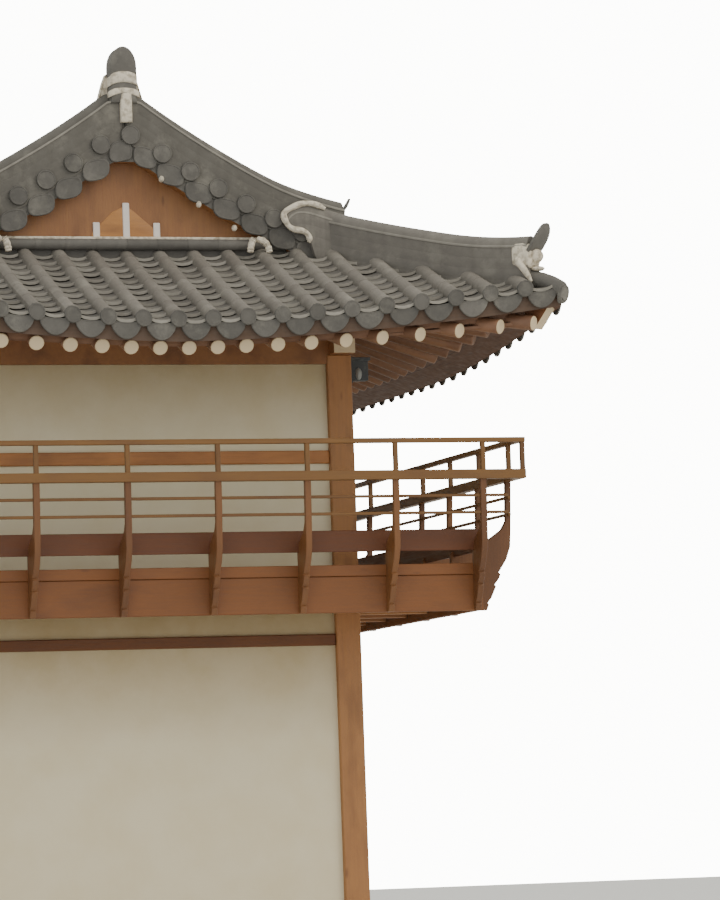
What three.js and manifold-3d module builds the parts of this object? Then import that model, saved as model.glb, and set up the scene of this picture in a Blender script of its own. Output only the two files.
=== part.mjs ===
// Two-storey hanok: a timber-framed house with plastered walls, a balcony all round its upper storey
// and a hip-and-gable roof of grey clay tiles. Millimetres, +Z up, the ridge runs along Y, the
// gable that is seen from the street looks towards -Y, and the origin is on the ground under the middle.
import * as THREE from 'three';
import { mergeVertices } from 'three/addons/utils/BufferGeometryUtils.js';
import Module from 'manifold-3d';

const wasm = await Module();
wasm.setup();

// Plan of the frame
const HALF_W = 1900;
const HALF_L = 3500;
const POST = 225;
const FIT = 0.3;
const POST_HALF = POST / 2;
const FACE_X = HALF_W + POST_HALF;
const FACE_Y = HALF_L + POST_HALF;
const INNER_X = HALF_W - POST_HALF;
const INNER_Y = HALF_L - POST_HALF;

// Walls and the beams that are let into them
const PLASTER_SETBACK = 60;
const WALL = 200;
const BEAM_SETBACK = 30;
const BEAM_DEPTH = 80;
const DOOR_WIDTH = 1000;
const DOOR_HEIGHT = 1850;
const DOOR_CENTRE_Y = 1750;

// Levels
const SLAB_TOP = 150;
const LOWER_BEAM = { bottom: 2742, top: 2842 };
const FLOOR_BOTTOM = 3080;
const DECK = 3300;
const MID_BEAM = { bottom: 4368, top: 4484 };
const PLATE_BOTTOM = 5260;
const POST_TOP = 5338;
const PLATE_END_TOP = 5530;
const PLATE_END_REACH = 165;
const PLATE_WIDTH = 200;

// Balcony
const DECK_REACH = 865;
const FASCIA_BOTTOM = 2980;
const FASCIA_THICK = 50;
const BRACKET_PITCH = 800;
const BRACKET_THICK = 54;
const BRACKET_INSET = 62;
const RAIL_OUT = 330;
const SHORT_POST = 40;
const SHORT_POST_SETBACK = 5;
const TENON = 10;

// Lamp beside the front corner post
const LAMP_WIDTH = 120;
const LAMP_DEPTH = 213;
const LAMP_HEIGHT = 230;
const LAMP_BOTTOM = 5100;
const LAMP_Y = -HALF_L + 50;

// Roof: plan of its edge, the slope's rise and the lift of the corners
const EAVE = 1590;
const EAVE_X = HALF_W + EAVE;
const EAVE_Y = HALF_L + EAVE;
const EAVE_TOP = 5440;
const EAVE_THICK = 150;
const THICK_GROWTH = 0.07;
const SLOPE = 0.452;
const CURVE_RISE = 280;
const CORNER_LIFT = 310;
const LIFT_POWER = 1.6;

// Rafters
const RAFTER_R = 67;
const RAFTER_SIDES = 6;
const RAFTER_PITCH = 237;
const RAFTER_PITCH_GROWTH = 7.6;
const FRONT_INSET = 150;
const SIDE_INSET = 420;
const RAFTER_CLEAR = 0.6;
const CORNER_INSET_CHANGE = 80;
const EAVE_BOARD = 80;
const EAVE_BOARD_BEHIND = 50;
const EAVE_BOARD_WIDTH = 90;
const EAVE_BOARD_CLEAR = 6;
const PARALLEL_COUNT = 2.5;
const CORNER_COUNT = 10.5;
const FAN_GATHER = 900;
const HIP_WIDTH = 150;
const HIP_DEPTH = 178;
const HIP_TAIL_DEPTH = 240;
const HIP_TAIL = 70;
const HIP_TAIL_SLANT = 90;
const HIP_BELLY = 0.3;
const HIP_ROOT = 150;
const HIP_CLEAR = 10;

// Gables: the boards stand back from the ridges that run along the gable's edges
const GABLE_Y = 3360;
const SKIRT_RUN = EAVE_Y - GABLE_Y;
const GABLE_THICK = 40;
const GABLE_CLEAR = 12;
const GABLE_HALF = EAVE_X - SKIRT_RUN - 60;
const GABLE_BASE_SINK = 40;
const VERGE_Y = 3544;
const VERGE_START = EAVE_Y - VERGE_Y;
const VERGE_WIDTH = 290;
const VERGE_BAND = 150;
const VERGE_HEIGHT = 480;
const VERGE_UPTURN = 95;
const VERGE_UPTURN_POWER = 1.5;
const VERGE_FOOT = 80;
const VERGE_FOOT_RUN = 650;
const VERGE_CREST = 35;
const VERGE_CREST_RUN = 1200;
const VERGE_INNER = VERGE_Y - VERGE_WIDTH;
const FOOT_WIDTH = 60;
const FOOT_HALF = 1700;
const FOOT_BOTTOM = 6180;
const FOOT_TOP = 6392;
const VERGE_LAP = 5;

// Ridges
const RIDGE_WIDTH = 300;
const RIDGE_TOP = 7710;
const RIDGE_SAG = 80;
const RIDGE_TILE_TOP = 8110;
const RIDGE_TILE_WIDTH = 270;
const RIDGE_TILE_ROUND = 160;
const RIDGE_TILE_THICK = 140;
const RIDGE_TILE_SEAT = 60;
const HIP_RIDGE_WIDTH = 220;
const HIP_RIDGE_HEIGHT = 390;
const HIP_RIDGE_SINK = 90;
const HIP_RIDGE_ROOT = 20;
const HIP_RIDGE_TIP = 110;
const HIP_RIDGE_TIP_RUN = 750;
const HIP_RIDGE_LAP = 60;
const HIP_RIDGE_END = 60;
const HIP_TILE_HEIGHT = 80;
const HIP_TILE_ROOT = 0.4;
const HIP_TILE_LENGTH = 120;
const HIP_TILE_BASE = 100;
const HIP_TILE_LEAN = 42;
const HIP_TILE_NARROWING = 0.8;

const timber = new THREE.MeshStandardMaterial({ color: '#8a5433', roughness: 0.6, metalness: 0 });
const railTimber = new THREE.MeshStandardMaterial({ color: '#96683a', roughness: 0.55, metalness: 0 });
const gableTimber = new THREE.MeshStandardMaterial({ color: '#a5683c', roughness: 0.6, metalness: 0 });
const plaster = new THREE.MeshStandardMaterial({ color: '#b9b4a6', roughness: 0.9, metalness: 0 });
const tileGrey = new THREE.MeshStandardMaterial({ color: '#77746e', roughness: 0.75, metalness: 0 });
const stone = new THREE.MeshStandardMaterial({ color: '#9a958b', roughness: 0.85, metalness: 0 });

const lampGrey = new THREE.MeshStandardMaterial({ color: '#4c4f52', roughness: 0.5, metalness: 0 });

const house = new THREE.Group();

// A box between two corners
function block([x0, y0, z0], [x1, y1, z1]) {
  const box = new THREE.BoxGeometry(x1 - x0, y1 - y0, z1 - z0);
  return box.translate((x0 + x1) / 2, (y0 + y1) / 2, (z0 + z1) / 2);
}

// A plan outline raised from one level to another
function raised(outline, bottom, top) {
  const shape = new THREE.Shape(outline.map(([x, y]) => new THREE.Vector2(x, y)));
  const body = new THREE.ExtrudeGeometry(shape, { depth: top - bottom, bevelEnabled: false });
  return body.translate(0, 0, bottom);
}

// A subdivided unit box whose points, each from 0 to 1, are carried to their places by a function
function bent(counts, place) {
  const box = new THREE.BoxGeometry(1, 1, 1, ...counts);
  const points = box.getAttribute('position');
  for (let i = 0; i < points.count; i += 1) {
    const put = place(points.getX(i) + 0.5, points.getY(i) + 0.5, points.getZ(i) + 0.5);
    points.setXYZ(i, ...put);
  }
  return box;
}

// The closed solid of a geometry
function solid(geometry) {
  const bare = geometry.clone();
  bare.deleteAttribute('normal');
  bare.deleteAttribute('uv');
  const merged = mergeVertices(bare, 1e-3);
  return new wasm.Manifold(new wasm.Mesh({
    numProp: 3,
    vertProperties: new Float32Array(merged.getAttribute('position').array),
    triVerts: new Uint32Array(merged.getIndex().array),
  }));
}

function geometryOf(body) {
  const mesh = body.getMesh();
  const geometry = new THREE.BufferGeometry();
  geometry.setAttribute('position', new THREE.BufferAttribute(new Float32Array(mesh.vertProperties), 3));
  geometry.setIndex(new THREE.BufferAttribute(new Uint32Array(mesh.triVerts), 1));
  return geometry;
}

function union(geometries) {
  return geometries.map(solid).reduce((whole, piece) => whole.add(piece));
}

function cut(geometry, tools) {
  return geometryOf(tools.reduce((body, tool) => body.subtract(solid(tool)), solid(geometry)));
}

function add(name, geometry, material, turned = false) {
  const mesh = new THREE.Mesh(geometry, material);
  mesh.name = name;
  mesh.rotation.z = turned ? Math.PI : 0;
  house.add(mesh);
}

// The front piece also stands at the back, and the right piece at the left, turned half round
function addPair(stem, [first, second], geometry, material) {
  add(`${stem}_${first}`, geometry, material);
  add(`${stem}_${second}`, geometry, material, true);
}

const FRONT_BACK = ['front', 'back'];
const RIGHT_LEFT = ['right', 'left'];

// Height of the tile bed: u is the distance in from the nearer eave, s the distance along from the corner
function liftAt(u, s) {
  const along = Math.max(0, 1 - s / EAVE_X);
  const inward = Math.max(0, 1 - u / EAVE_X);
  return CORNER_LIFT * along ** LIFT_POWER * inward;
}

function bedAt(u, s) {
  return EAVE_TOP + SLOPE * u + CURVE_RISE * (u / EAVE_X) ** 4 + liftAt(u, s);
}

function soffitAt(u, s) {
  return bedAt(u, s) - EAVE_THICK - THICK_GROWTH * u;
}

// The soffit over a point of the plan outside the walls
function soffitOver(x, y) {
  const fromSide = EAVE_X - Math.abs(x);
  const fromFront = EAVE_Y - Math.abs(y);
  return soffitAt(Math.min(fromSide, fromFront), Math.max(fromSide, fromFront));
}

function foundation() {
  add('ground_slab', block([-FACE_X, -FACE_Y, 0], [FACE_X, FACE_Y, SLAB_TOP]), stone);
}

function post(x, y) {
  return block([x - POST_HALF, y - POST_HALF, SLAB_TOP + FIT], [x + POST_HALF, y + POST_HALF, POST_TOP]);
}

// A beam of the long side, which passes through the middle post
function sideBeam(level, from, to) {
  const outer = FACE_X - BEAM_SETBACK;
  return block([outer - BEAM_DEPTH, from, level.bottom], [outer, to, level.top]);
}

function sideSlot(level) {
  const outer = FACE_X - BEAM_SETBACK;
  return block(
    [outer - BEAM_DEPTH - FIT, -FACE_Y, level.bottom - FIT],
    [outer + FIT, FACE_Y, level.top + FIT],
  );
}

function posts() {
  for (const [side, sx] of [['right', 1], ['left', -1]]) {
    for (const [end, sy] of [['front', -1], ['back', 1]]) {
      add(`corner_post_${end}_${side}`, post(sx * HALF_W, sy * HALF_L), timber);
    }
  }
  const mortised = cut(post(HALF_W, 0), [sideSlot(LOWER_BEAM), sideSlot(MID_BEAM)]);
  addPair('middle_post', RIGHT_LEFT, mortised, timber);
}

function beams() {
  const outer = FACE_Y - BEAM_SETBACK;
  const reach = INNER_X - FIT;
  for (const [stem, level] of [['lower_beam', LOWER_BEAM], ['mid_beam', MID_BEAM]]) {
    const beam = block([-reach, -outer, level.bottom], [reach, -outer + BEAM_DEPTH, level.top]);
    addPair(stem, FRONT_BACK, beam, timber);
  }
  const end = INNER_Y - FIT;
  addPair('lower_beam', RIGHT_LEFT, sideBeam(LOWER_BEAM, -end, end), timber);
  add('mid_beam_left', sideBeam(MID_BEAM, -end, end), timber, true);
  add('mid_beam_right_front', sideBeam(MID_BEAM, -end, DOOR_CENTRE_Y - DOOR_WIDTH / 2), timber);
  add('mid_beam_right_back', sideBeam(MID_BEAM, DOOR_CENTRE_Y + DOOR_WIDTH / 2, end), timber);
}

function endWall(bottom, top, level) {
  const outer = FACE_Y - PLASTER_SETBACK;
  const reach = INNER_X - FIT;
  const panel = block([-reach, -outer, bottom], [reach, -outer + WALL, top]);
  const groove = block(
    [-FACE_X, -FACE_Y, level.bottom - FIT],
    [FACE_X, -FACE_Y + BEAM_SETBACK + BEAM_DEPTH + FIT, level.top + FIT],
  );
  return cut(panel, [groove]);
}

// The long wall in plan: it laps behind the middle post and round the lining of the end walls
function sideWall(bottom, top, level) {
  const outer = FACE_X - PLASTER_SETBACK;
  const inner = outer - WALL;
  const end = INNER_Y - FIT;
  const liningEnd = FACE_Y - PLASTER_SETBACK - WALL - FIT;
  const postSide = POST_HALF + FIT;
  const panel = raised([
    [outer, -end], [outer, -postSide], [INNER_X - FIT, -postSide], [INNER_X - FIT, postSide],
    [outer, postSide], [outer, end], [INNER_X, end], [INNER_X, liningEnd],
    [inner, liningEnd], [inner, -liningEnd], [INNER_X, -liningEnd], [INNER_X, -end],
  ], bottom, top);
  return cut(panel, [sideSlot(level)]);
}

function doorway(floor) {
  return block(
    [INNER_X - WALL, DOOR_CENTRE_Y - DOOR_WIDTH / 2, floor - WALL],
    [FACE_X, DOOR_CENTRE_Y + DOOR_WIDTH / 2, floor + DOOR_HEIGHT],
  );
}

function walls() {
  const storeys = [
    ['lower_wall', SLAB_TOP + FIT, FLOOR_BOTTOM - FIT, LOWER_BEAM, SLAB_TOP],
    ['upper_wall', DECK + FIT, PLATE_BOTTOM - FIT, MID_BEAM, DECK],
  ];
  for (const [stem, bottom, top, level, floor] of storeys) {
    addPair(stem, FRONT_BACK, endWall(bottom, top, level), plaster);
    const long = sideWall(bottom, top, level);
    add(`${stem}_left`, long, plaster, true);
    add(`${stem}_right`, cut(long, [doorway(floor)]), plaster);
  }
}

// The plates lie on the posts, halved into each other, and the long ones show past the corners
function plates(top) {
  const half = PLATE_WIDTH / 2;
  const bars = [];
  for (const s of [-1, 1]) {
    const x = s * HALF_W;
    const y = s * HALF_L;
    const endY = FACE_Y + PLATE_END_REACH;
    bars.push(block([x - half, -HALF_L - half, PLATE_BOTTOM], [x + half, HALF_L + half, top]));
    bars.push(block([-HALF_W - half, y - half, PLATE_BOTTOM], [HALF_W + half, y + half, top]));
    bars.push(block([x - half, -endY, POST_TOP + FIT], [x + half, endY, PLATE_END_TOP]));
  }
  const room = POST_HALF + FIT;
  const heads = [];
  for (const sx of [-1, 1]) {
    for (const y of [-HALF_L, 0, HALF_L]) {
      const x = sx * HALF_W;
      heads.push(block([x - room, y - room, PLATE_BOTTOM - 1], [x + room, y + room, POST_TOP + FIT]));
    }
  }
  add('wall_plates', cut(geometryOf(union(bars)), heads), timber);
}

// The upper floor runs out through the walls as the deck of the balcony
function upperFloor() {
  const x = FACE_X + DECK_REACH - FASCIA_THICK - FIT;
  const y = FACE_Y + DECK_REACH - FASCIA_THICK - FIT;
  const slab = block([-x, -y, FLOOR_BOTTOM], [x, y, DECK]);
  const room = POST_HALF + FIT;
  const holes = [];
  for (const sx of [-1, 1]) {
    for (const py of [-HALF_L, 0, HALF_L]) {
      const px = sx * HALF_W;
      holes.push(block([px - room, py - room, FLOOR_BOTTOM - 1], [px + room, py + room, DECK + 1]));
    }
  }
  add('upper_floor', cut(slab, holes), timber);
}

function fascia() {
  const x = FACE_X + DECK_REACH;
  const y = FACE_Y + DECK_REACH;
  const ring = block([-x, -y, FASCIA_BOTTOM], [x, y, DECK]);
  const inside = block(
    [-x + FASCIA_THICK, -y + FASCIA_THICK, FASCIA_BOTTOM - 1],
    [x - FASCIA_THICK, y - FASCIA_THICK, DECK + 1],
  );
  add('balcony_fascia', cut(ring, [inside]), timber);
}

// The bars of the railing: how far out of the fascia they lie, and their levels
const MIDDLE_RAIL = { name: 'middle rail', from: 240, to: RAIL_OUT, bottom: 4117, top: 4199 };
const TOP_RAIL = { name: 'top rail', from: 270, to: RAIL_OUT, bottom: 4437, top: 4480 };
const RAIL_BARS = [
  { name: 'toe board', from: -30, to: 12, bottom: DECK + FIT, top: 3397 },
  { name: 'skirt board', from: 22, to: 50, bottom: 3510, top: 3697 },
  { name: 'lower slat', from: 264, to: 290, bottom: 3812, top: 3838 },
  { name: 'upper slat', from: 264, to: 290, bottom: 3961, top: 3987 },
  MIDDLE_RAIL,
  TOP_RAIL,
];

// A bracket post in side view, swept outwards from the foot of the fascia to the middle rail
const BRACKET_OUTLINE = [
  [FIT, FASCIA_BOTTOM], [45, FASCIA_BOTTOM], [72, 3040], [150, 3230], [245, 3430], [284, 3540],
  [294, 3700], [312, 4130], [262, 4130], [250, 3760], [205, 3690], [60, 3590], [FIT, 3540],
];

// One side of the railing, built along X and facing -Y; half is half the length of the fascia there
function railing(half, offset, cornered) {
  const pieces = [];
  for (const bar of RAIL_BARS) {
    const reach = cornered ? half + bar.to : half + bar.from - FIT;
    pieces.push(block([-reach, -offset - bar.to, bar.bottom], [reach, -offset - bar.from, bar.top]));
  }
  const last = half - BRACKET_INSET;
  const count = Math.round(2 * last / BRACKET_PITCH);
  const outline = new THREE.Shape(BRACKET_OUTLINE.map(([out, z]) => new THREE.Vector2(out, z)));
  const stations = [];
  for (let i = 0; i <= count; i += 1) stations.push(-last + 2 * last * i / count);
  for (const x of stations) {
    const bracket = new THREE.ExtrudeGeometry(outline, { depth: BRACKET_THICK, bevelEnabled: false });
    bracket.rotateX(Math.PI / 2).rotateZ(-Math.PI / 2);
    pieces.push(bracket.translate(x + BRACKET_THICK / 2, -offset, 0));
  }
  const out = RAIL_OUT - SHORT_POST_SETBACK - SHORT_POST;
  const cornerPost = half + out + SHORT_POST / 2;
  const shorts = cornered ? [-cornerPost, ...stations, cornerPost] : stations;
  for (const x of shorts) {
    pieces.push(block(
      [x - SHORT_POST / 2, -offset - out - SHORT_POST, MIDDLE_RAIL.top - TENON],
      [x + SHORT_POST / 2, -offset - out, TOP_RAIL.bottom + TENON],
    ));
  }
  return geometryOf(union(pieces));
}

function railings() {
  const x = FACE_X + DECK_REACH;
  const y = FACE_Y + DECK_REACH;
  addPair('balcony_rail', FRONT_BACK, railing(x, y, true), railTimber);
  addPair('balcony_rail', RIGHT_LEFT, railing(y, x, false).rotateZ(Math.PI / 2), railTimber);
}

// Tails of the rafters along half an eave, counted from the middle; they spread near the corner
function tailAt(k) {
  return RAFTER_PITCH * k + RAFTER_PITCH_GROWTH * k * k;
}

const FAN_START = tailAt(PARALLEL_COUNT);
const FAN_END = tailAt(CORNER_COUNT);

// Where a fanned rafter crosses the plate: the fan gathers towards the corner post
function fanRoot(tail) {
  const t = (tail - FAN_START) / (FAN_END - FAN_START);
  return FAN_START + FAN_GATHER * (1 - (1 - t) ** 2);
}

// The rafters of one eave as [tail, root, inset] along it; shift moves the corner part outwards, and
// the tails stand back from the eave by the inset, less near the corner
function rafterLines(shift, standing) {
  const lines = [];
  const straightEnd = FAN_START + shift;
  const count = Math.round(2 * straightEnd / (RAFTER_PITCH + RAFTER_PITCH_GROWTH * PARALLEL_COUNT / 2));
  for (let i = 0; i <= count; i += 1) {
    const x = -straightEnd + 2 * straightEnd * i / count;
    lines.push([x, x, standing]);
  }
  for (let k = PARALLEL_COUNT + 1; k <= CORNER_COUNT; k += 1) {
    const t = (k - PARALLEL_COUNT) / (CORNER_COUNT - PARALLEL_COUNT);
    const inset = standing - CORNER_INSET_CHANGE * t;
    const limit = EAVE_X - inset - HIP_WIDTH * Math.SQRT1_2 - RAFTER_R * Math.SQRT2 - HIP_CLEAR;
    const tail = Math.min(tailAt(k), limit);
    const root = fanRoot(tailAt(k));
    lines.push([tail + shift, root + shift, inset], [-tail - shift, -root - shift, inset]);
  }
  return lines;
}

// The highest straight line between two plan points whose top stays under the soffit
function underSoffit([x0, y0], [x1, y1], clearance, halfWidth) {
  const rise = (t) => soffitOver(x0 + (x1 - x0) * t, y0 + (y1 - y0) * t);
  const length = Math.hypot(x1 - x0, y1 - y0);
  const aside = [(y1 - y0) / length * halfWidth, (x0 - x1) / length * halfWidth];
  const z0 = rise(0);
  const z1 = rise(1);
  let drop = 0;
  for (let t = 0; t <= 1.0001; t += 0.05) {
    const x = x0 + (x1 - x0) * t;
    const y = y0 + (y1 - y0) * t;
    const line = z0 + (z1 - z0) * t;
    for (const side of [-1, 0, 1]) {
      drop = Math.max(drop, line - soffitOver(x + side * aside[0], y + side * aside[1]));
    }
  }
  return [z0 - drop - clearance, z1 - drop - clearance];
}

// The line of a rafter's top, the fall of its axis under that line and its length
function rafterTop(from, to) {
  const [z0, z1] = underSoffit(from, to, RAFTER_CLEAR, RAFTER_R / 2);
  const run = Math.hypot(to[0] - from[0], to[1] - from[1]);
  const slant = Math.hypot(run, z1 - z0) / run;
  return { z0, z1, sink: RAFTER_R * slant, length: run * slant };
}

function rafter(from, to) {
  const { z0, z1, sink, length } = rafterTop(from, to);
  const tail = new THREE.Vector3(from[0], from[1], z0 - sink);
  const root = new THREE.Vector3(to[0], to[1], z1 - sink);
  const along = root.clone().sub(tail).normalize();
  const across = new THREE.Vector3().crossVectors(along, new THREE.Vector3(0, 0, 1)).normalize();
  const up = new THREE.Vector3().crossVectors(across, along);
  const rod = new THREE.CylinderGeometry(RAFTER_R, RAFTER_R, length, RAFTER_SIDES);
  rod.applyMatrix4(new THREE.Matrix4().makeBasis(across, along, up));
  const middle = tail.add(root).multiplyScalar(0.5);
  return rod.translate(middle.x, middle.y, middle.z);
}

// The board that lies across the rafters behind their tails and follows the curve of the eave
function eaveBoard(halfEave, clearEnd, inset) {
  return bent([12, 1, 1], (a, b, c) => {
    const u = inset + EAVE_BOARD_BEHIND + EAVE_BOARD_WIDTH * b;
    const reach = halfEave - u - clearEnd;
    const x = (2 * a - 1) * reach;
    const s = halfEave - Math.abs(x);
    return [x, u, soffitAt(u, s) - EAVE_BOARD_CLEAR - EAVE_BOARD * (1 - c)];
  });
}

function hipRafter(sx, sy) {
  const tail = [EAVE_X - HIP_TAIL, EAVE_Y - HIP_TAIL];
  const root = [HALF_W - HIP_ROOT, HALF_L - HIP_ROOT];
  const [zTail, zRoot] = underSoffit(tail, root, RAFTER_CLEAR, HIP_WIDTH / 2);
  const run = Math.hypot(tail[0] - root[0], tail[1] - root[1]);
  const side = new THREE.Shape([
    new THREE.Vector2(0, zRoot), new THREE.Vector2(0, zRoot - HIP_DEPTH),
    new THREE.Vector2(run * HIP_BELLY, zRoot + (zTail - zRoot) * HIP_BELLY - HIP_DEPTH),
    new THREE.Vector2(run - HIP_TAIL_SLANT, zTail - HIP_TAIL_DEPTH), new THREE.Vector2(run, zTail),
  ]);
  const bar = new THREE.ExtrudeGeometry(side, { depth: HIP_WIDTH, bevelEnabled: false });
  bar.translate(0, 0, -HIP_WIDTH / 2).rotateX(Math.PI / 2);
  bar.rotateZ(Math.atan2(sy, sx));
  return bar.translate(sx * root[0], sy * root[1], 0);
}

function rafters() {
  const front = [];
  for (const [tail, root, inset] of rafterLines(0, FRONT_INSET)) {
    front.push(rafter([tail, -EAVE_Y + inset], [root, -INNER_Y]));
  }
  front.push(eaveBoard(EAVE_X, EAVE_BOARD_CLEAR, FRONT_INSET).translate(0, -EAVE_Y, 0));
  front.push(hipRafter(1, -1), hipRafter(-1, -1));
  addPair('eave_rafters', FRONT_BACK, geometryOf(union(front)), timber);
  const right = [];
  for (const [tail, root, inset] of rafterLines(EAVE_Y - EAVE_X, SIDE_INSET)) {
    right.push(rafter([EAVE_X - inset, tail], [INNER_X, root]));
  }
  const board = eaveBoard(EAVE_Y, HIP_WIDTH * Math.SQRT1_2 + HIP_CLEAR, SIDE_INSET);
  right.push(board.rotateZ(Math.PI / 2).translate(EAVE_X, 0, 0));
  addPair('eave_rafters', RIGHT_LEFT, geometryOf(union(right)), timber);
}

// Rows of a slope: the first reach the gable boards, the rest go on to the ridge
const SKIRT_ROWS = 5;
const UPPER_ROWS = 4;
const HIP_GAP = 0.5;

function sideSlope() {
  const rows = SKIRT_ROWS + UPPER_ROWS;
  return bent([20, rows, 1], (a, b, c) => {
    const row = b * rows;
    const upper = Math.max(0, row - SKIRT_ROWS) / UPPER_ROWS;
    const lower = Math.min(row, SKIRT_ROWS) / SKIRT_ROWS;
    const u = SKIRT_RUN * lower + (EAVE_X - FIT - SKIRT_RUN) * upper;
    const y = (2 * a - 1) * (EAVE_Y - Math.min(u, SKIRT_RUN));
    const s = EAVE_Y - Math.abs(y);
    const z = soffitAt(u, s) + (bedAt(u, s) - soffitAt(u, s)) * c;
    return [EAVE_X - u, y, z];
  });
}

function frontSkirt() {
  return bent([14, SKIRT_ROWS, 1], (a, b, c) => {
    const u = SKIRT_RUN * b;
    const x = (2 * a - 1) * (EAVE_X - u - HIP_GAP);
    const s = EAVE_X - Math.abs(x);
    const z = soffitAt(u, s) + (bedAt(u, s) - soffitAt(u, s)) * c;
    return [x, -EAVE_Y + u, z];
  });
}

// A closed bar bent along a slope, on the right-hand side of the house
function slopeBar(from, to, steps, y0, y1, low, high) {
  return bent([steps, 1, 1], (a, b, c) => {
    const u = from + (to - from) * a;
    const bed = bedAt(u, SKIRT_RUN);
    return [EAVE_X - u, y0 + (y1 - y0) * (1 - b), bed + low(u) + (high(u) - low(u)) * c];
  });
}

function gables(skirt) {
  const steps = 10;
  const points = [];
  for (let i = 0; i <= steps; i += 1) {
    const x = GABLE_HALF * (2 * i / steps - 1);
    points.push(new THREE.Vector2(x, bedAt(EAVE_X - Math.abs(x), SKIRT_RUN) - GABLE_CLEAR));
  }
  const base = bedAt(SKIRT_RUN, EAVE_X) - GABLE_BASE_SINK;
  points.push(new THREE.Vector2(GABLE_HALF, base), new THREE.Vector2(-GABLE_HALF, base));
  const panel = new THREE.ExtrudeGeometry(new THREE.Shape(points), { depth: GABLE_THICK, bevelEnabled: false });
  panel.rotateX(Math.PI / 2).translate(0, -GABLE_Y - FIT, 0);
  addPair('gable_boards', FRONT_BACK, cut(panel, [skirt.clone().translate(0, 0, FIT)]), gableTimber);
}

// The mirror image in X, with its faces turned back outwards
function mirroredX(geometry) {
  const image = geometry.clone().scale(-1, 1, 1);
  const index = image.getIndex();
  for (let i = 0; i < index.count; i += 3) {
    const keep = index.getX(i);
    index.setX(i, index.getX(i + 1));
    index.setX(i + 1, keep);
  }
  return image;
}

// Height of a gable ridge over the tile bed: it turns up at its foot and rises a little to the crown
function vergeHeight(u) {
  const foot = Math.max(0, 1 - (u - VERGE_START + VERGE_FOOT) / VERGE_FOOT_RUN) ** VERGE_UPTURN_POWER;
  const crest = Math.max(0, 1 - (EAVE_X - u) / VERGE_CREST_RUN);
  const height = VERGE_HEIGHT + VERGE_UPTURN * foot + VERGE_CREST * crest;
  return Math.min(height, RIDGE_TOP - bedAt(u, SKIRT_RUN));
}

// Outline of the round-headed tile that closes the main ridge
function ridgeTileShape() {
  const half = RIDGE_TILE_WIDTH / 2;
  const shoulder = RIDGE_TILE_TOP - RIDGE_TILE_ROUND;
  const shape = new THREE.Shape();
  shape.moveTo(-half, RIDGE_TOP - RIDGE_TILE_SEAT);
  shape.lineTo(half, RIDGE_TOP - RIDGE_TILE_SEAT);
  shape.lineTo(half, shoulder);
  shape.quadraticCurveTo(half, RIDGE_TILE_TOP, 0, RIDGE_TILE_TOP);
  shape.quadraticCurveTo(-half, RIDGE_TILE_TOP, -half, shoulder);
  return shape;
}

// The ridges along both edges of a gable, on the band of roof that hangs out over the boards, the crown
// where they meet with its end tile, and the flat course along the gable's foot
function gableRidges(slopes, skirt) {
  const boards = -GABLE_Y - GABLE_THICK - 2 * FIT;
  const to = EAVE_X + VERGE_LAP;
  const stack = slopeBar(
    VERGE_START - VERGE_FOOT, to, 9, -VERGE_Y, -VERGE_INNER, () => 0, vergeHeight,
  );
  const band = slopeBar(VERGE_START, to, 9, -VERGE_Y, boards, () => -VERGE_BAND, () => VERGE_LAP);
  const tile = new THREE.ExtrudeGeometry(ridgeTileShape(), {
    depth: RIDGE_TILE_THICK, bevelEnabled: false, curveSegments: 4,
  });
  const half = RIDGE_WIDTH / 2;
  const crest = bedAt(EAVE_X, EAVE_X);
  const pieces = [
    stack, mirroredX(stack), band, mirroredX(band),
    block([-half, -VERGE_Y, crest - VERGE_BAND], [half, boards, RIDGE_TOP]),
    block([-half, boards - VERGE_LAP, crest + FIT], [half, -VERGE_INNER, RIDGE_TOP]),
    tile.rotateX(Math.PI / 2).translate(0, -VERGE_Y + RIDGE_TILE_THICK, 0),
    block([-FOOT_HALF, boards - FOOT_WIDTH, FOOT_BOTTOM], [FOOT_HALF, boards, FOOT_TOP]),
  ];
  let body = union(pieces);
  for (const slope of slopes) body = body.subtract(solid(slope.clone().translate(0, -FIT, FIT)));
  body = body.subtract(solid(skirt.clone().translate(0, 0, FIT)));
  addPair('gable_ridges', FRONT_BACK, geometryOf(body), tileGrey);
}

// The main ridge sits astride the slopes between the gable ridges, and its top sags a little
function mainRidge(bedding) {
  const half = RIDGE_WIDTH / 2;
  const end = VERGE_INNER - FIT;
  const low = bedAt(EAVE_X, EAVE_X) - half;
  const bar = bent([1, 12, 1], (a, b, c) => {
    const y = (2 * b - 1) * end;
    const top = RIDGE_TOP - RIDGE_SAG * (1 - (y / end) ** 2);
    return [(2 * a - 1) * half, y, low + (top - low) * c];
  });
  add('main_ridge', cut(bar, bedding.map((slope) => slope.clone().translate(0, 0, FIT))), tileGrey);
}

// The small outdoor lamp on the side face of the front corner post
function sideLamp() {
  const x = FACE_X + FIT;
  const lamp = block(
    [x, LAMP_Y - LAMP_WIDTH / 2, LAMP_BOTTOM],
    [x + LAMP_DEPTH, LAMP_Y + LAMP_WIDTH / 2, LAMP_BOTTOM + LAMP_HEIGHT],
  );
  add('side_lamp', lamp, lampGrey);
}

// Height of a hip ridge over the tile bed: it swells a little at its root and rises to its tip
function hipRidgeHeight(u) {
  const root = HIP_RIDGE_ROOT * (u / VERGE_START) ** 2;
  const tip = HIP_RIDGE_TIP * Math.max(0, 1 - u / HIP_RIDGE_TIP_RUN) ** 2;
  return HIP_RIDGE_HEIGHT + root + tip;
}

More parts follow.
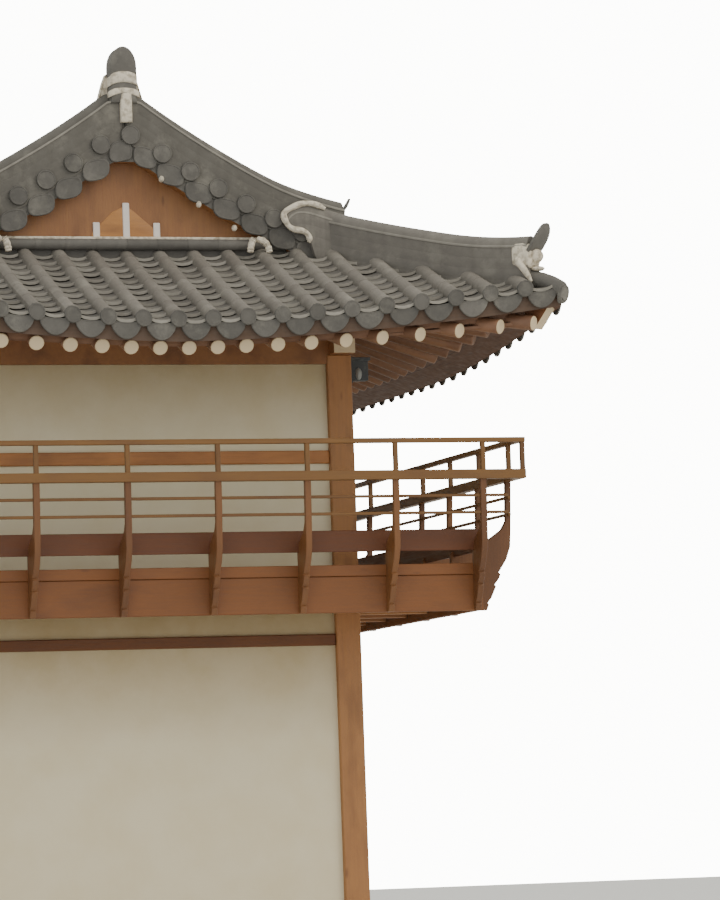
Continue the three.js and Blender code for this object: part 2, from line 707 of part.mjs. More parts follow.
// A hip ridge from the foot of the gable ridge to the corner of the eaves, with its raised end tile
function hipRidge(neighbours, toLeft) {
  const start = VERGE_START + HIP_RIDGE_LAP;
  const steps = 12;
  const side = HIP_RIDGE_WIDTH / 2 * Math.SQRT1_2;
  const bar = bent([steps, 1, 1], (a, b, c) => {
    const u = start + (HIP_RIDGE_END - start) * a;
    const across = (2 * b - 1) * side;
    const z = bedAt(u, u) - HIP_RIDGE_SINK + (hipRidgeHeight(u) + HIP_RIDGE_SINK) * c;
    return [EAVE_X - u - across, EAVE_Y - u + across, z];
  });
  const tip = bent([1, 1, 1], (a, b, c) => {
    const u = HIP_RIDGE_END + HIP_TILE_LENGTH * (1 - a);
    const across = (2 * b - 1) * side * HIP_TILE_NARROWING;
    const base = bedAt(u, u) + HIP_TILE_BASE;
    const lean = HIP_TILE_LEAN * c;
    const rise = HIP_TILE_HEIGHT * (HIP_TILE_ROOT + (1 - HIP_TILE_ROOT) * a);
    const z = base + (hipRidgeHeight(u) - HIP_TILE_BASE + rise) * c;
    return [EAVE_X - u - across + lean, EAVE_Y - u + across + lean, z];
  });
  const pieces = toLeft ? [mirroredX(bar), mirroredX(tip)] : [bar, tip];
  let body = union(pieces);
  for (const other of neighbours) body = body.subtract(solid(other));
  return geometryOf(body);
}

function roof() {
  const slope = sideSlope();
  const otherSlope = slope.clone().rotateZ(Math.PI);
  const skirt = frontSkirt();
  const backSkirt = skirt.clone().rotateZ(Math.PI);
  addPair('roof_slope', RIGHT_LEFT, slope, tileGrey);
  addPair('roof_skirt', FRONT_BACK, skirt, tileGrey);
  gables(skirt);
  gableRidges([slope, otherSlope], skirt);
  mainRidge([slope, otherSlope]);
  const foot = EAVE_X - (VERGE_START - VERGE_FOOT) + FIT;
  for (const [names, nearSlope, sx] of [
    [['back_right', 'front_left'], slope, 1],
    [['back_left', 'front_right'], otherSlope, -1],
  ]) {
    const clear = block([Math.min(0, sx * foot), 0, EAVE_TOP], [Math.max(0, sx * foot), EAVE_Y, RIDGE_TOP]);
    const lifted = [nearSlope.clone().translate(0, HIP_GAP, FIT), backSkirt.clone().translate(0, 0, FIT)];
    addPair('hip_ridge', names, hipRidge([...lifted, clear], sx < 0), tileGrey);
  }
}

// The lowest rafter of each eave rests on the outer edge of the plates
function plateTop() {
  const undersides = [];
  for (const [plate, inner, eave, shift, standing] of [
    [HALF_L, INNER_Y, EAVE_Y, 0, FRONT_INSET], [HALF_W, INNER_X, EAVE_X, EAVE_Y - EAVE_X, SIDE_INSET],
  ]) {
    for (const [tail, root, inset] of rafterLines(shift, standing)) {
      const from = [tail, -eave + inset];
      const to = [root, -inner];
      const { z0, z1, sink } = shift === 0
        ? rafterTop(from, to)
        : rafterTop([from[1], from[0]], [to[1], to[0]]);
      const t = (-plate - PLATE_WIDTH / 2 - from[1]) / (to[1] - from[1]);
      undersides.push(z0 + (z1 - z0) * t - 2 * sink);
    }
  }
  return Math.min(...undersides) - FIT;
}

foundation();
posts();
beams();
walls();
upperFloor();
fascia();
railings();
sideLamp();
plates(plateTop());
rafters();
roof();

export default house;
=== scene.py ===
"""Dresses a two-storey hanok house: its tiled roof, ridges, rafters, timbers, walls, light and camera.

Metres, +Z up. The ridge runs along Y and the gable that the street sees looks towards -Y.
"""

import logging
import math
from dataclasses import dataclass
from enum import Enum

import bpy
import numpy as np
from mathutils import Matrix, Vector


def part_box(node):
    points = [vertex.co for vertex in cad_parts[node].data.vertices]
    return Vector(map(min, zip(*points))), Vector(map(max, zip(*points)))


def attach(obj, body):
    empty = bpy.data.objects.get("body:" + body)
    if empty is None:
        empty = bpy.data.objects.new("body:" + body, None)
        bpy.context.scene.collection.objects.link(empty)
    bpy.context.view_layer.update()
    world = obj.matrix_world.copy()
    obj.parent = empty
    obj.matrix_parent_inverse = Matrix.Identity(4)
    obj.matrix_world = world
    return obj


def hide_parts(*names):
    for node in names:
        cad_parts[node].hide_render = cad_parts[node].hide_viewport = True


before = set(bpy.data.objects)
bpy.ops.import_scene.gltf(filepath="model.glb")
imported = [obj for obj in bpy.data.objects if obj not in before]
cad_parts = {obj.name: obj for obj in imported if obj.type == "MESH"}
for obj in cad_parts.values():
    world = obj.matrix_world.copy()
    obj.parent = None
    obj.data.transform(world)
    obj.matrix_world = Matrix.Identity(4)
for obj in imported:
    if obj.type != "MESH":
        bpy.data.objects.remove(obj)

LOG = logging.getLogger("hanok")
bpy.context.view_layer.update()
WELD = 1e-5
SMOOTH_ANGLE = math.radians(32)
RANDOM_SEED = 7
USUAL_ROUGHNESS = 0.5

Array = np.ndarray
Number = Array | float
Colour = tuple[float, float, float, float]
Profile = tuple[tuple[float, float], ...]
Spots = tuple[float, ...]
Span = tuple[float, float]
Material = bpy.types.Material
Socket = bpy.types.NodeSocket

UP = np.array([0.0, 0.0, 1.0])
STREET = np.array([0.0, -1.0, 0.0])
CORNER_OUT = np.array([1.0, -1.0, 0.0]) / math.sqrt(2)
CORNER_SIDE = np.array([1.0, 1.0, 0.0]) / math.sqrt(2)
FRONT_BACK, RIGHT_LEFT = ("front", "back"), ("right", "left")
RIGHT_CORNERS, LEFT_CORNERS = ("front_right", "back_left"), ("front_left", "back_right")


@dataclass
class Patch:
    """Quads over numbered points, each face with a material slot and each point with a tone from 0 to 1."""

    points: Array
    faces: Array
    slots: Array
    tones: Array

    def turned(self) -> "Patch":
        """The patch after half a turn about Z: (x, y, z) -> (-x, -y, z)."""
        return Patch(self.points * (-1, -1, 1), self.faces, self.slots, self.tones)

    def quarter(self) -> "Patch":
        """The patch after a quarter turn about Z: (x, y, z) -> (-y, x, z)."""
        return Patch(self.points[:, [1, 0, 2]] * (-1, 1, 1), self.faces, self.slots, self.tones)

    def mirrored(self) -> "Patch":
        """The mirror image in X, (x, y, z) -> (-x, y, z), with its faces wound the other way."""
        return Patch(self.points * (-1, 1, 1), self.faces[:, ::-1], self.slots, self.tones)

    def doubled(self) -> "Patch":
        """The patch together with its mirror image."""
        return joined([self, self.mirrored()])

    def volume(self) -> float:
        """Signed volume of a closed patch: sum of a . (b x c) / 6 over its triangles.

        Returns:
            The volume, below 0 when the faces look inwards.
        """
        a, b, c, d = (self.points[self.faces[:, k]] for k in range(4))
        first = np.einsum("ij,ij->i", a, np.cross(b, c))
        second = np.einsum("ij,ij->i", a, np.cross(c, d))
        return float((first + second).sum() / 6)


def joined(patches: list[Patch]) -> Patch:
    """All the patches as one.

    Args:
        patches: the patches in order.

    Returns:
        One patch; no points are merged.
    """
    starts = np.cumsum([0] + [len(p.points) for p in patches[:-1]])
    return Patch(
        np.concatenate([p.points for p in patches]),
        np.concatenate([p.faces + start for p, start in zip(patches, starts)]),
        np.concatenate([p.slots for p in patches]),
        np.concatenate([p.tones for p in patches]),
    )


def xyz(x: Number, y: Number, z: Number) -> Array:
    """Points from three coordinates, each spread over the others."""
    return np.stack(np.broadcast_arrays(x, y, z), axis=-1)


def unit(vectors: Array) -> Array:
    """The vectors brought to length 1."""
    return vectors / np.linalg.norm(vectors, axis=-1, keepdims=True)


def circle(count: int) -> tuple[Array, Array]:
    """Cosine and sine of evenly spaced angles."""
    angle = np.arange(count) * 2 * math.pi / count
    return np.cos(angle), np.sin(angle)


def blunt(wave: Array, power: float) -> Array:
    """A sine or cosine raised to a power with its sign kept, which squares a circle off."""
    return np.sign(wave) * np.abs(wave) ** power


def ball(rows: int, columns: int) -> Array:
    """A unit ball: (sin t cos a, sin t sin a, cos t)."""
    tilt = np.linspace(0, math.pi, rows)[:, None]
    cos, sin = circle(columns)
    return xyz(np.sin(tilt) * cos, np.sin(tilt) * sin, np.cos(tilt))


def sheet(points: Array, slots: Array | int = 0, tones: Number = 0.5, ring: bool = False) -> Patch:
    """Quads over a batch of grids; a face's normal is d/drow x d/dcolumn.

    Args:
        points: array (grids, rows, columns, 3), or (rows, columns, 3) for one grid.
        slots: material slot, or an array that spreads over (grids, rows - 1, spans).
        tones: tone, or an array that spreads over (grids, rows, columns).
        ring: join the last column to the first.

    Returns:
        The patch.
    """
    points = points[None] if points.ndim == 3 else points
    grids, rows, columns = points.shape[:3]
    spans = columns if ring else columns - 1
    g, i, j = np.meshgrid(np.arange(grids), np.arange(rows - 1), np.arange(spans), indexing="ij")
    start = g * rows * columns
    after = (j + 1) % columns
    corners = [(i, j), (i + 1, j), (i + 1, after), (i, after)]
    faces = np.stack([start + row * columns + column for row, column in corners], axis=-1)
    return Patch(
        points.reshape(-1, 3),
        faces.reshape(-1, 4),
        np.broadcast_to(slots, (grids, rows - 1, spans)).ravel(),
        np.broadcast_to(tones, (grids, rows, columns)).ravel(),
    )


def shell(rings: Array, slots: Array | int = 0, tones: Number = 0.5, caps: bool = True) -> Patch:
    """A closed skin over rings of points, wound so that its faces look outwards.

    Args:
        rings: array (shells, rings, columns, 3) or (rings, columns, 3).
        slots: as for sheet, over the rings with their caps.
        tones: as for sheet, over the rings with their caps.
        caps: close each end with a ring shrunk to its mean, P = mean of the ring.

    Returns:
        The patch, its columns reversed if its signed volume was negative.
    """
    rings = rings[None] if rings.ndim == 3 else rings
    if caps:
        ends = [np.broadcast_to(rings[:, k].mean(1)[:, None, None], rings[:, :1].shape) for k in (0, -1)]
        rings = np.concatenate([ends[0], rings, ends[1]], axis=1)
    made = sheet(rings, slots, tones, ring=True)
    if made.volume() < 0:
        made.faces = made.faces[:, ::-1]
    return made


def relief(
    outline: Array, centre: Array, out: Array, front: Profile, back: float, tones: Number = 0.5
) -> Patch:
    """Plates that carry a profile: P(k, j) = centre + scale_k (outline_j - centre) + depth_k out.

    Args:
        outline: array (plates, columns, 3) of each plate's edge.
        centre: array (plates, 3).
        out: direction that the plates look in.
        front: pairs of scale and depth from the middle of the face to its rim.
        back: how far the flat back lies behind the outline.
        tones: as for sheet.

    Returns:
        The closed plates.
    """
    profile = np.array([*front, (1.0, -back), (0.0, -back)])
    scale, depth = profile.T[:, None, :, None, None]
    middle = centre[:, None, None]
    return shell(middle + scale * (outline[:, None] - middle) + depth * out, tones=tones, caps=False)


def block_template() -> tuple[Array, Array, Array]:
    """A box with its edges and corners cut off, three points to a corner.

    Returns:
        Each point's signs, its mask of the one direction in which it reaches the full size, and the faces.
    """
    signs = np.array([(x, y, z) for x in (-1, 1) for y in (-1, 1) for z in (-1, 1)])
    masks = np.tile(np.eye(3), (8, 1))
    signs = np.repeat(signs, 3, axis=0)
    points = signs * (1 + masks)
    faces = []
    for axis in range(3):
        others = [k for k in range(3) if k != axis]
        turn = np.arctan2(points[:, others[1]], points[:, others[0]])
        for sign in (-1, 1):
            face = np.flatnonzero((signs[:, axis] == sign) & (masks[:, axis] == 1))
            faces.append(face[np.argsort(turn[face])])
    for first in range(3):
        for second in range(first + 1, 3):
            along = 3 - first - second
            for a, b in ((-1, -1), (-1, 1), (1, -1), (1, 1)):
                edge = (signs[:, first] == a) & (signs[:, second] == b) & (masks[:, along] == 0)
                edge = np.flatnonzero(edge)
                low, high = edge[signs[edge, along] < 0], edge[signs[edge, along] > 0]
                faces.append(np.array([low[0], low[1], high[1], high[0]]))
    for corner in range(8):
        faces.append(3 * corner + np.array([0, 1, 2, 2]))
    faces = np.array(faces)
    a, b, c = (points[faces[:, k]] for k in range(3))
    inward = np.einsum("ij,ij->i", np.cross(b - a, c - b), points[faces].mean(1)) < 0
    faces[inward] = faces[inward][:, ::-1]
    return signs, masks, faces


BLOCK_SIGNS, BLOCK_MASKS, BLOCK_FACES = block_template()
RNG = np.random.default_rng(RANDOM_SEED)


def blocks(low: Array, high: Array, bevel: float, slot: int = 0) -> Patch:
    """Squared timbers with their edges planed off: P = centre + sign (half - bevel (1 - mask)).

    Args:
        low: array (blocks, 3) of lowest corners.
        high: array (blocks, 3) of highest corners.
        bevel: width taken off each edge.
        slot: material slot.

    Returns:
        All the blocks, each with a tone of its own.
    """
    low, high = np.atleast_2d(low).astype(float), np.atleast_2d(high).astype(float)
    centre, half = (low + high)[:, None] / 2, (high - low)[:, None] / 2
    points = centre + BLOCK_SIGNS * (half - bevel * (1 - BLOCK_MASKS))
    count = len(low)
    faces = BLOCK_FACES + np.arange(count)[:, None, None] * len(BLOCK_SIGNS)
    tones = np.repeat(RNG.random(count), len(BLOCK_SIGNS))
    return Patch(points.reshape(-1, 3), faces.reshape(-1, 4), np.full(count * len(BLOCK_FACES), slot), tones)


def build_mesh(name: str, patch: Patch, finishes: list[Material]) -> bpy.types.Mesh:
    """Welds points that coincide and share a tone, drops faces that have collapsed, and makes the mesh.

    Args:
        name: name of the mesh.
        patch: its surface.
        finishes: materials in the order of the patch's slots.

    Returns:
        The mesh, smooth but for its sharp edges, with the tones as an attribute.
    """
    keys = np.column_stack([patch.points / WELD, patch.tones / WELD]).round().astype(np.int64)
    _, first, number = np.unique(keys, axis=0, return_index=True, return_inverse=True)
    faces = number.reshape(-1)[patch.faces]
    repeats = faces == np.roll(faces, -1, axis=1)
    crossed = (faces[:, 0] == faces[:, 2]) | (faces[:, 1] == faces[:, 3])
    kept = (repeats.sum(1) <= 1) & ~crossed
    faces, corner, slots = faces[kept], ~repeats[kept], patch.slots[kept]
    loops, totals = faces[corner], corner.sum(1)
    mesh = bpy.data.meshes.new(name)
    mesh.vertices.add(len(first))
    mesh.vertices.foreach_set("co", patch.points[first].ravel())
    mesh.loops.add(len(loops))
    mesh.loops.foreach_set("vertex_index", loops)
    mesh.polygons.add(len(totals))
    mesh.polygons.foreach_set("loop_start", np.cumsum(totals) - totals)
    mesh.polygons.foreach_set("material_index", slots)
    for finish in finishes:
        mesh.materials.append(finish)
    tone = mesh.attributes.new("tone", "FLOAT", "POINT")
    tone.data.foreach_set("value", patch.tones[first])
    mesh.update(calc_edges=True)
    mesh.validate()
    mesh.shade_smooth()
    mesh.set_sharp_from_angle(angle=SMOOTH_ANGLE)
    return mesh


def put(
    name: str, patch: Patch, finishes: list[Material], stands_for: tuple[str, ...] = ()
) -> None:
    """Adds one piece of the house and hides the CAD nodes that it stands for.

    Args:
        name: name of the piece.
        patch: its surface.
        finishes: materials in the order of the patch's slots.
        stands_for: CAD nodes that the piece replaces.
    """
    mesh = build_mesh(name, patch, finishes)
    piece = bpy.data.objects.new(name, mesh)
    bpy.context.scene.collection.objects.link(piece)
    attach(piece, "root")
    if stands_for:
        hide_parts(*stands_for)
    LOG.info("%s: %d faces", name, len(mesh.polygons))


def paint(hex_code: str) -> Colour:
    """An sRGB hex colour as linear light: c / 12.92 up to 0.04045, else ((c + 0.055) / 1.055) ** 2.4."""
    parts = [int(hex_code[k : k + 2], 16) / 255 for k in (1, 3, 5)]
    linear = [c / 12.92 if c <= 0.04045 else ((c + 0.055) / 1.055) ** 2.4 for c in parts]
    return (*linear, 1.0)


def node(
    tree: bpy.types.NodeTree, kind: str, inputs: dict | None = None, **settings: object
) -> bpy.types.Node:
    """Adds a shader node.

    Args:
        tree: the node tree.
        kind: the node's type without its ShaderNode prefix.
        inputs: socket name or number to a value, or to the socket that feeds it.
        **settings: the node's own properties.

    Returns:
        The node.
    """
    made = tree.nodes.new(f"ShaderNode{kind}")
    for key, value in settings.items():
        setattr(made, key, value)
    for key, value in (inputs or {}).items():
        if isinstance(value, Socket):
            tree.links.new(value, made.inputs[key])
        else:
            made.inputs[key].default_value = value
    return made


class Axis(Enum):
    """Direction in which a timber's grain runs."""

    X = 0
    Y = 1
    Z = 2


LEVEL = (Axis.X, Axis.Y)


@dataclass(frozen=True)
class Shade:
    """The nodes of one material, drawn over places in the object's own metres."""

    tree: bpy.types.NodeTree
    place: Socket

    def noise(self, spots: Spots, at: Socket | None = None) -> Socket:
        """Cloudy noise: spots holds 1 / size in metres, the detail, and the roughness if it isn't usual."""
        scale, detail, roughness = (*spots, USUAL_ROUGHNESS)[:3]
        wanted = {"Vector": at or self.place, "Scale": scale, "Detail": detail, "Roughness": roughness}
        return node(self.tree, "TexNoise", wanted).outputs[0]

    def cells(self, scale: float, at: Socket | None = None) -> Socket:
        """Distance to the nearest of scattered points, 1 / scale metres apart."""
        wanted = {"Vector": at or self.place, "Scale": scale}
        return node(self.tree, "TexVoronoi", wanted).outputs["Distance"]

    def drawn(self, axis: Axis, share: float) -> Socket:
        """Places shrunk along one axis, so that what is drawn over them is stretched along it."""
        scale = [share if k == axis.value else 1.0 for k in range(3)]
        wanted = {"Vector": self.place, "Scale": scale}
        return node(self.tree, "Mapping", wanted, vector_type="POINT").outputs[0]

    def part(self, axis: Axis, vector: Socket | None = None) -> Socket:
        """One coordinate of a vector."""
        return node(self.tree, "SeparateXYZ", {"Vector": vector or self.place}).outputs[axis.value]

    def tone(self) -> Socket:
        """The tone that the mesh holds for each tile or board."""
        return node(self.tree, "Attribute", attribute_name="tone").outputs["Fac"]

    def maths(self, operation: str, *terms: Socket | float) -> Socket:
        """Arithmetic on values."""
        return node(self.tree, "Math", dict(enumerate(terms)), operation=operation).outputs[0]

    def band(self, value: Socket, span: Span, to: Span = (0.0, 1.0)) -> Socket:
        """The part of a value that lies in one span, stretched over another."""
        wanted = {"Value": value, "From Min": span[0], "From Max": span[1], "To Min": to[0], "To Max": to[1]}
        return node(self.tree, "MapRange", wanted).outputs[0]

    def layered(self, under: Socket | str, over: str, share: Socket) -> Socket:
        """One colour over another where share is 1."""
        under = paint(under) if isinstance(under, str) else under
        return node(self.tree, "Mix", {0: share, 6: under, 7: paint(over)}, data_type="RGBA").outputs[2]


Dressing = tuple[Socket, Socket, Socket]


@dataclass(frozen=True)
class Finish:
    """A material: subclasses give its colour, where it is worn rough, and its relief of the given depth."""

    name: str
    ior: float = 1.5
    roughness: float = 0.7
    smoother: float = 0.1
    rougher: float = 0.1
    depth: float = 0.002
    wear: Span = (0.3, 0.7)

    def build(self) -> Material:
        """Makes the material; over the wear it runs from roughness - smoother to roughness + rougher.

        Returns:
            The material.
        """
        material = bpy.data.materials.new(self.name)
        material.use_nodes = True
        tree = material.node_tree
        tree.nodes.clear()
        shade = Shade(tree, node(tree, "TexCoord").outputs["Object"])
        colour, worn, height = self.dress(shade)
        span = (self.roughness - self.smoother, self.roughness + self.rougher)
        roughness = shade.band(worn, self.wear, span)
        bump = node(tree, "Bump", {"Height": height, "Distance": self.depth}).outputs[0]
        skin = {"Base Color": colour, "Roughness": roughness, "IOR": self.ior, "Normal": bump}
        node(tree, "OutputMaterial", {"Surface": node(tree, "BsdfPrincipled", skin).outputs[0]})
        return material

    def dress(self, shade: Shade) -> Dressing:
        """Colour, wear and height."""
        raise NotImplementedError


@dataclass(frozen=True)
class FiredTile(Finish):
    """Grey clay tile, smoke-fired: each has its own grey, and dust and lichen lighten it in patches."""

    dark: str = "#5d5a55"
    light: str = "#8a8680"
    blush: str = "#94857c"
    lichen: str = "#a9a598"
    roughness: float = 0.78
    mottling: Spots = (12.0, 5.0, 0.6)
    grit: Spots = (240.0, 3.0)
    patches: Spots = (3.1, 6.0, 0.7)
    greys: Span = (0.45, 1.55)
    grown: Span = (0.52, 0.68)
    lichen_share: float = 0.2
    blush_from: float = 2.0
    blush_edge: float = 0.05
    blush_share: float = 0.7

    def dress(self, shade: Shade) -> Dressing:
        """Tone picks the grey of each tile; mottling of 80 mm, grit of 4 mm.

        Args:
            shade: the material's nodes.

        Returns:
            Colour, wear and height.
        """
        tone, mottle, grit = shade.tone(), shade.noise(self.mottling), shade.noise(self.grit)
        height = shade.maths("ADD", mottle, grit)
        grey = shade.band(shade.maths("ADD", tone, mottle), self.greys)
        reddened = (self.blush_from, self.blush_from + self.blush_edge)
        blushed = shade.band(tone, reddened, (0.0, self.blush_share))
        grown = shade.band(shade.noise(self.patches), self.grown, (0.0, self.lichen_share))
        colour = shade.layered(shade.layered(self.dark, self.light, grey), self.blush, blushed)
        return shade.layered(colour, self.lichen, grown), grit, height


@dataclass(frozen=True)
class LimeMortar(Finish):
    """Lime mortar pressed on by hand: cream, lumpy, with grey run-off in its hollows."""

    lime: str = "#d6cdbb"
    stain: str = "#a79d8b"
    roughness: float = 0.9
    smoother: float = 0.08
    rougher: float = 0.0
    depth: float = 0.003
    lumps: Spots = (22.0, 4.0)
    sand: Spots = (190.0, 2.0)
    hollows: Span = (0.56, 0.36)
    lump_height: float = 3.0

    def dress(self, shade: Shade) -> Dressing:
        """Lumps of 40 mm and sand of 5 mm; the stain sits in the hollows."""
        lump, sand = shade.noise(self.lumps), shade.noise(self.sand)
        colour = shade.layered(self.lime, self.stain, shade.band(lump, self.hollows))
        return colour, sand, shade.maths("MULTIPLY_ADD", lump, self.lump_height, sand)


@dataclass(frozen=True)
class OiledTimber(Finish):
    """Softwood with an oil stain: streaks of early and late wood, knots, and clouds where oil soaked in."""

    axis: Axis = Axis.X
    deep: str = "#6d3f24"
    warm: str = "#a3683d"
    knot: str = "#4a2a19"
    roughness: float = 0.5
    smoother: float = 0.08
    rougher: float = 0.12
    depth: float = 0.0015
    stretch: float = 0.05
    loose_stretch: float = 0.3
    streaks: Spots = (46.0, 6.0, 0.65)
    fibres: Spots = (276.0, 2.0)
    clouds: Spots = (1.7, 4.0)
    soaked: Spots = (5.0, 3.0)
    knots: float = 4.2
    stain_span: Span = (0.75, 2.1)
    fibre_span: Span = (0.62, 0.75)
    fibre_share: float = 0.18
    soaked_span: Span = (0.5, 0.78)
    soaked_share: float = 0.5
    knot_span: Span = (0.08, 0.03)
    knot_share: float = 0.45

    def dress(self, shade: Shade) -> Dressing:
        """Streaks of about 20 mm across and 0.4 m along the grain; a knot every metre or so.

        Args:
            shade: the material's nodes.

        Returns:
            Colour, wear and height.
        """
        drawn, loose = shade.drawn(self.axis, self.stretch), shade.drawn(self.axis, self.loose_stretch)
        grain, fine = shade.noise(self.streaks, drawn), shade.noise(self.fibres, drawn)
        mean = shade.maths("ADD", shade.maths("ADD", grain, shade.tone()), shade.noise(self.clouds))
        colour = shade.layered(self.deep, self.warm, shade.band(mean, self.stain_span))
        for value, span, share in (
            (fine, self.fibre_span, self.fibre_share),
            (shade.noise(self.soaked, loose), self.soaked_span, self.soaked_share),
            (shade.cells(self.knots, loose), self.knot_span, self.knot_share),
        ):
            colour = shade.layered(colour, self.knot, shade.band(value, span, (0.0, share)))
        return colour, grain, shade.maths("ADD", grain, fine)


@dataclass(frozen=True)
class PaintedEnd(Finish):
    """Cream paint on end grain: brushed thick, worn through in flecks that show the wood."""

    coat: str = "#c8b594"
    worn: str = "#8d6b4a"
    roughness: float = 0.6
    depth: float = 0.001
    brushing: Spots = (65.0, 3.0)
    flecks: Spots = (170.0, 5.0, 0.7)
    gone: Span = (0.62, 0.7)
    gone_share: float = 0.7

    def dress(self, shade: Shade) -> Dressing:
        """Flecks of 6 mm where the coat has gone, brush marks of 15 mm."""
        brush = shade.noise(self.brushing)
        gone = shade.band(shade.noise(self.flecks), self.gone, (0.0, self.gone_share))
        return shade.layered(self.coat, self.worn, gone), brush, brush


@dataclass(frozen=True)
class LimePlaster(Finish):
    """Lime plaster floated by hand: broad soft waves, fine sand, darkening towards the eaves, painted shade
    under the deck.
    """

    lime: str = "#d6ccb0"
    warm: str = "#c9b98f"
    # dust: colour of the darkening towards the eaves and of the painted shade under the deck
    dust: str = "#8a7448"
    roughness: float = 0.88
    smoother: float = 0.08
    rougher: float = 0.05
    depth: float = 0.0012
    waves: Spots = (2.0, 5.0, 0.6)
    marks: Spots = (19.0, 4.0)
    sand: Spots = (320.0, 2.0)
    mark_height: float = 2.0
    warm_span: Span = (0.4, 0.66)
    warm_share: float = 0.3
    # heights over which the wall darkens towards the eaves
    eave_darkening: Span = (4.6, 5.4)
    eave_share: float = 0.9
    # heights over which painted shade darkens the wall up to the deck's underside
    deck_shade: Span = (1.9, 3.1)
    wave_span: Span = (0.2, 0.8)
    cloudiness: Span = (0.68, 0.92)

    def dress(self, shade: Shade) -> Dressing:
        """Waves of 0.5 m, float marks of 50 mm, sand of 3 mm; the wall darkens up to the plate, and painted
        shade darkens it up to the deck.

        Args:
            shade: the material's nodes.

        Returns:
            Colour, wear and height.
        """
        broad, marks, sand = (shade.noise(spots) for spots in (self.waves, self.marks, self.sand))
        level = shade.part(Axis.Z)
        warmer = shade.band(broad, self.warm_span, (0.0, self.warm_share))
        near_eave = shade.band(level, self.eave_darkening, (0.0, self.eave_share))
        # painted shade on the wall under the deck, strongest just below it
        below_deck = shade.maths("LESS_THAN", level, self.deck_shade[1])
        near_deck = shade.maths("MULTIPLY", shade.band(level, self.deck_shade), below_deck)
        clouds = shade.band(broad, self.wave_span, self.cloudiness)
        # darkening towards the eaves and painted shade under the deck, in clouds
        dusty = shade.maths("MULTIPLY", shade.maths("MAXIMUM", near_eave, near_deck), clouds)
        colour = shade.layered(shade.layered(self.lime, self.warm, warmer), self.dust, dusty)
        return colour, sand, shade.maths("MULTIPLY_ADD", marks, self.mark_height, sand)


@dataclass(frozen=True)
class CastConcrete(Finish):
    """Cast concrete: cloudy grey with pinholes where air was trapped in the form."""

    pale: str = "#a6a196"
    dark: str = "#7f7b73"
    roughness: float = 0.85
    depth: float = 0.0015
    clouds: Spots = (3.4, 7.0, 0.65)
    cloud_span: Span = (0.35, 0.7)
    pinholes: float = 70.0
    hole_span: Span = (0.08, 0.2)

    def dress(self, shade: Shade) -> Dressing:
        """Clouds of 0.3 m and pinholes of 4 mm."""
        cloud = shade.noise(self.clouds)
        colour = shade.layered(self.pale, self.dark, shade.band(cloud, self.cloud_span))
        return colour, cloud, shade.band(shade.cells(self.pinholes), self.hole_span)


@dataclass(frozen=True)
class RoofBed(Finish):
    """Clay bedding on top and stained boards below: which of them shows depends on where the face looks."""

    axis: Axis = Axis.Y
    clay: str = "#4f463c"
    # board: the boards' own stain, made darker so that the strip behind the drip tiles paints the shade
    # between them
    board: str = "#573b29"
    seam: str = "#331f14"
    rougher: float = 0.15
    board_width: float = 0.18
    seam_span: Span = (0.006, 0.0)
    stretch: float = 0.06
    grain: Spots = (40.0, 5.0)
    grain_span: Span = (0.5, 0.8)
    grain_share: float = 0.6
    lumps: Spots = (18.0, 5.0)
    upward: Span = (-0.1, 0.1)

    def dress(self, shade: Shade) -> Dressing:
        """Boards run along the eave with a seam every board_width; the clay is lumpy.

        Args:
            shade: the material's nodes.

        Returns:
            Colour, wear and height.
        """
        grain, lump = shade.noise(self.grain, shade.drawn(self.axis, self.stretch)), shade.noise(self.lumps)
        across = shade.maths("PINGPONG", shade.part(LEVEL[1 - self.axis.value]), self.board_width)
        wood = shade.band(grain, self.grain_span, (0.0, self.grain_share))
        wood = shade.layered(self.board, self.seam, wood)
        wood = shade.layered(wood, self.seam, shade.band(across, self.seam_span))
        looks_up = shade.part(Axis.Z, node(shade.tree, "NewGeometry").outputs["Normal"])
        return shade.layered(wood, self.clay, shade.band(looks_up, self.upward)), lump, lump


@dataclass(frozen=True)
class PowderCoat(Finish):
    """Powder-coated sheet metal: even colour with a faint orange-peel and dust."""

    coat: str = "#3c4042"
    dust: str = "#6a6a64"
    roughness: float = 0.42
    smoother: float = 0.0
    rougher: float = 0.2
    depth: float = 0.0004
    dusting: Spots = (17.0, 5.0)
    dust_span: Span = (0.5, 0.75)
    dust_share: float = 0.5
    peel: Spots = (320.0, 1.0)

    def dress(self, shade: Shade) -> Dressing:
        """Peel of 3 mm, dust in patches of 60 mm."""
        dusty = shade.noise(self.dusting)
        share = shade.band(dusty, self.dust_span, (0.0, self.dust_share))
        return shade.layered(self.coat, self.dust, share), dusty, shade.noise(self.peel)


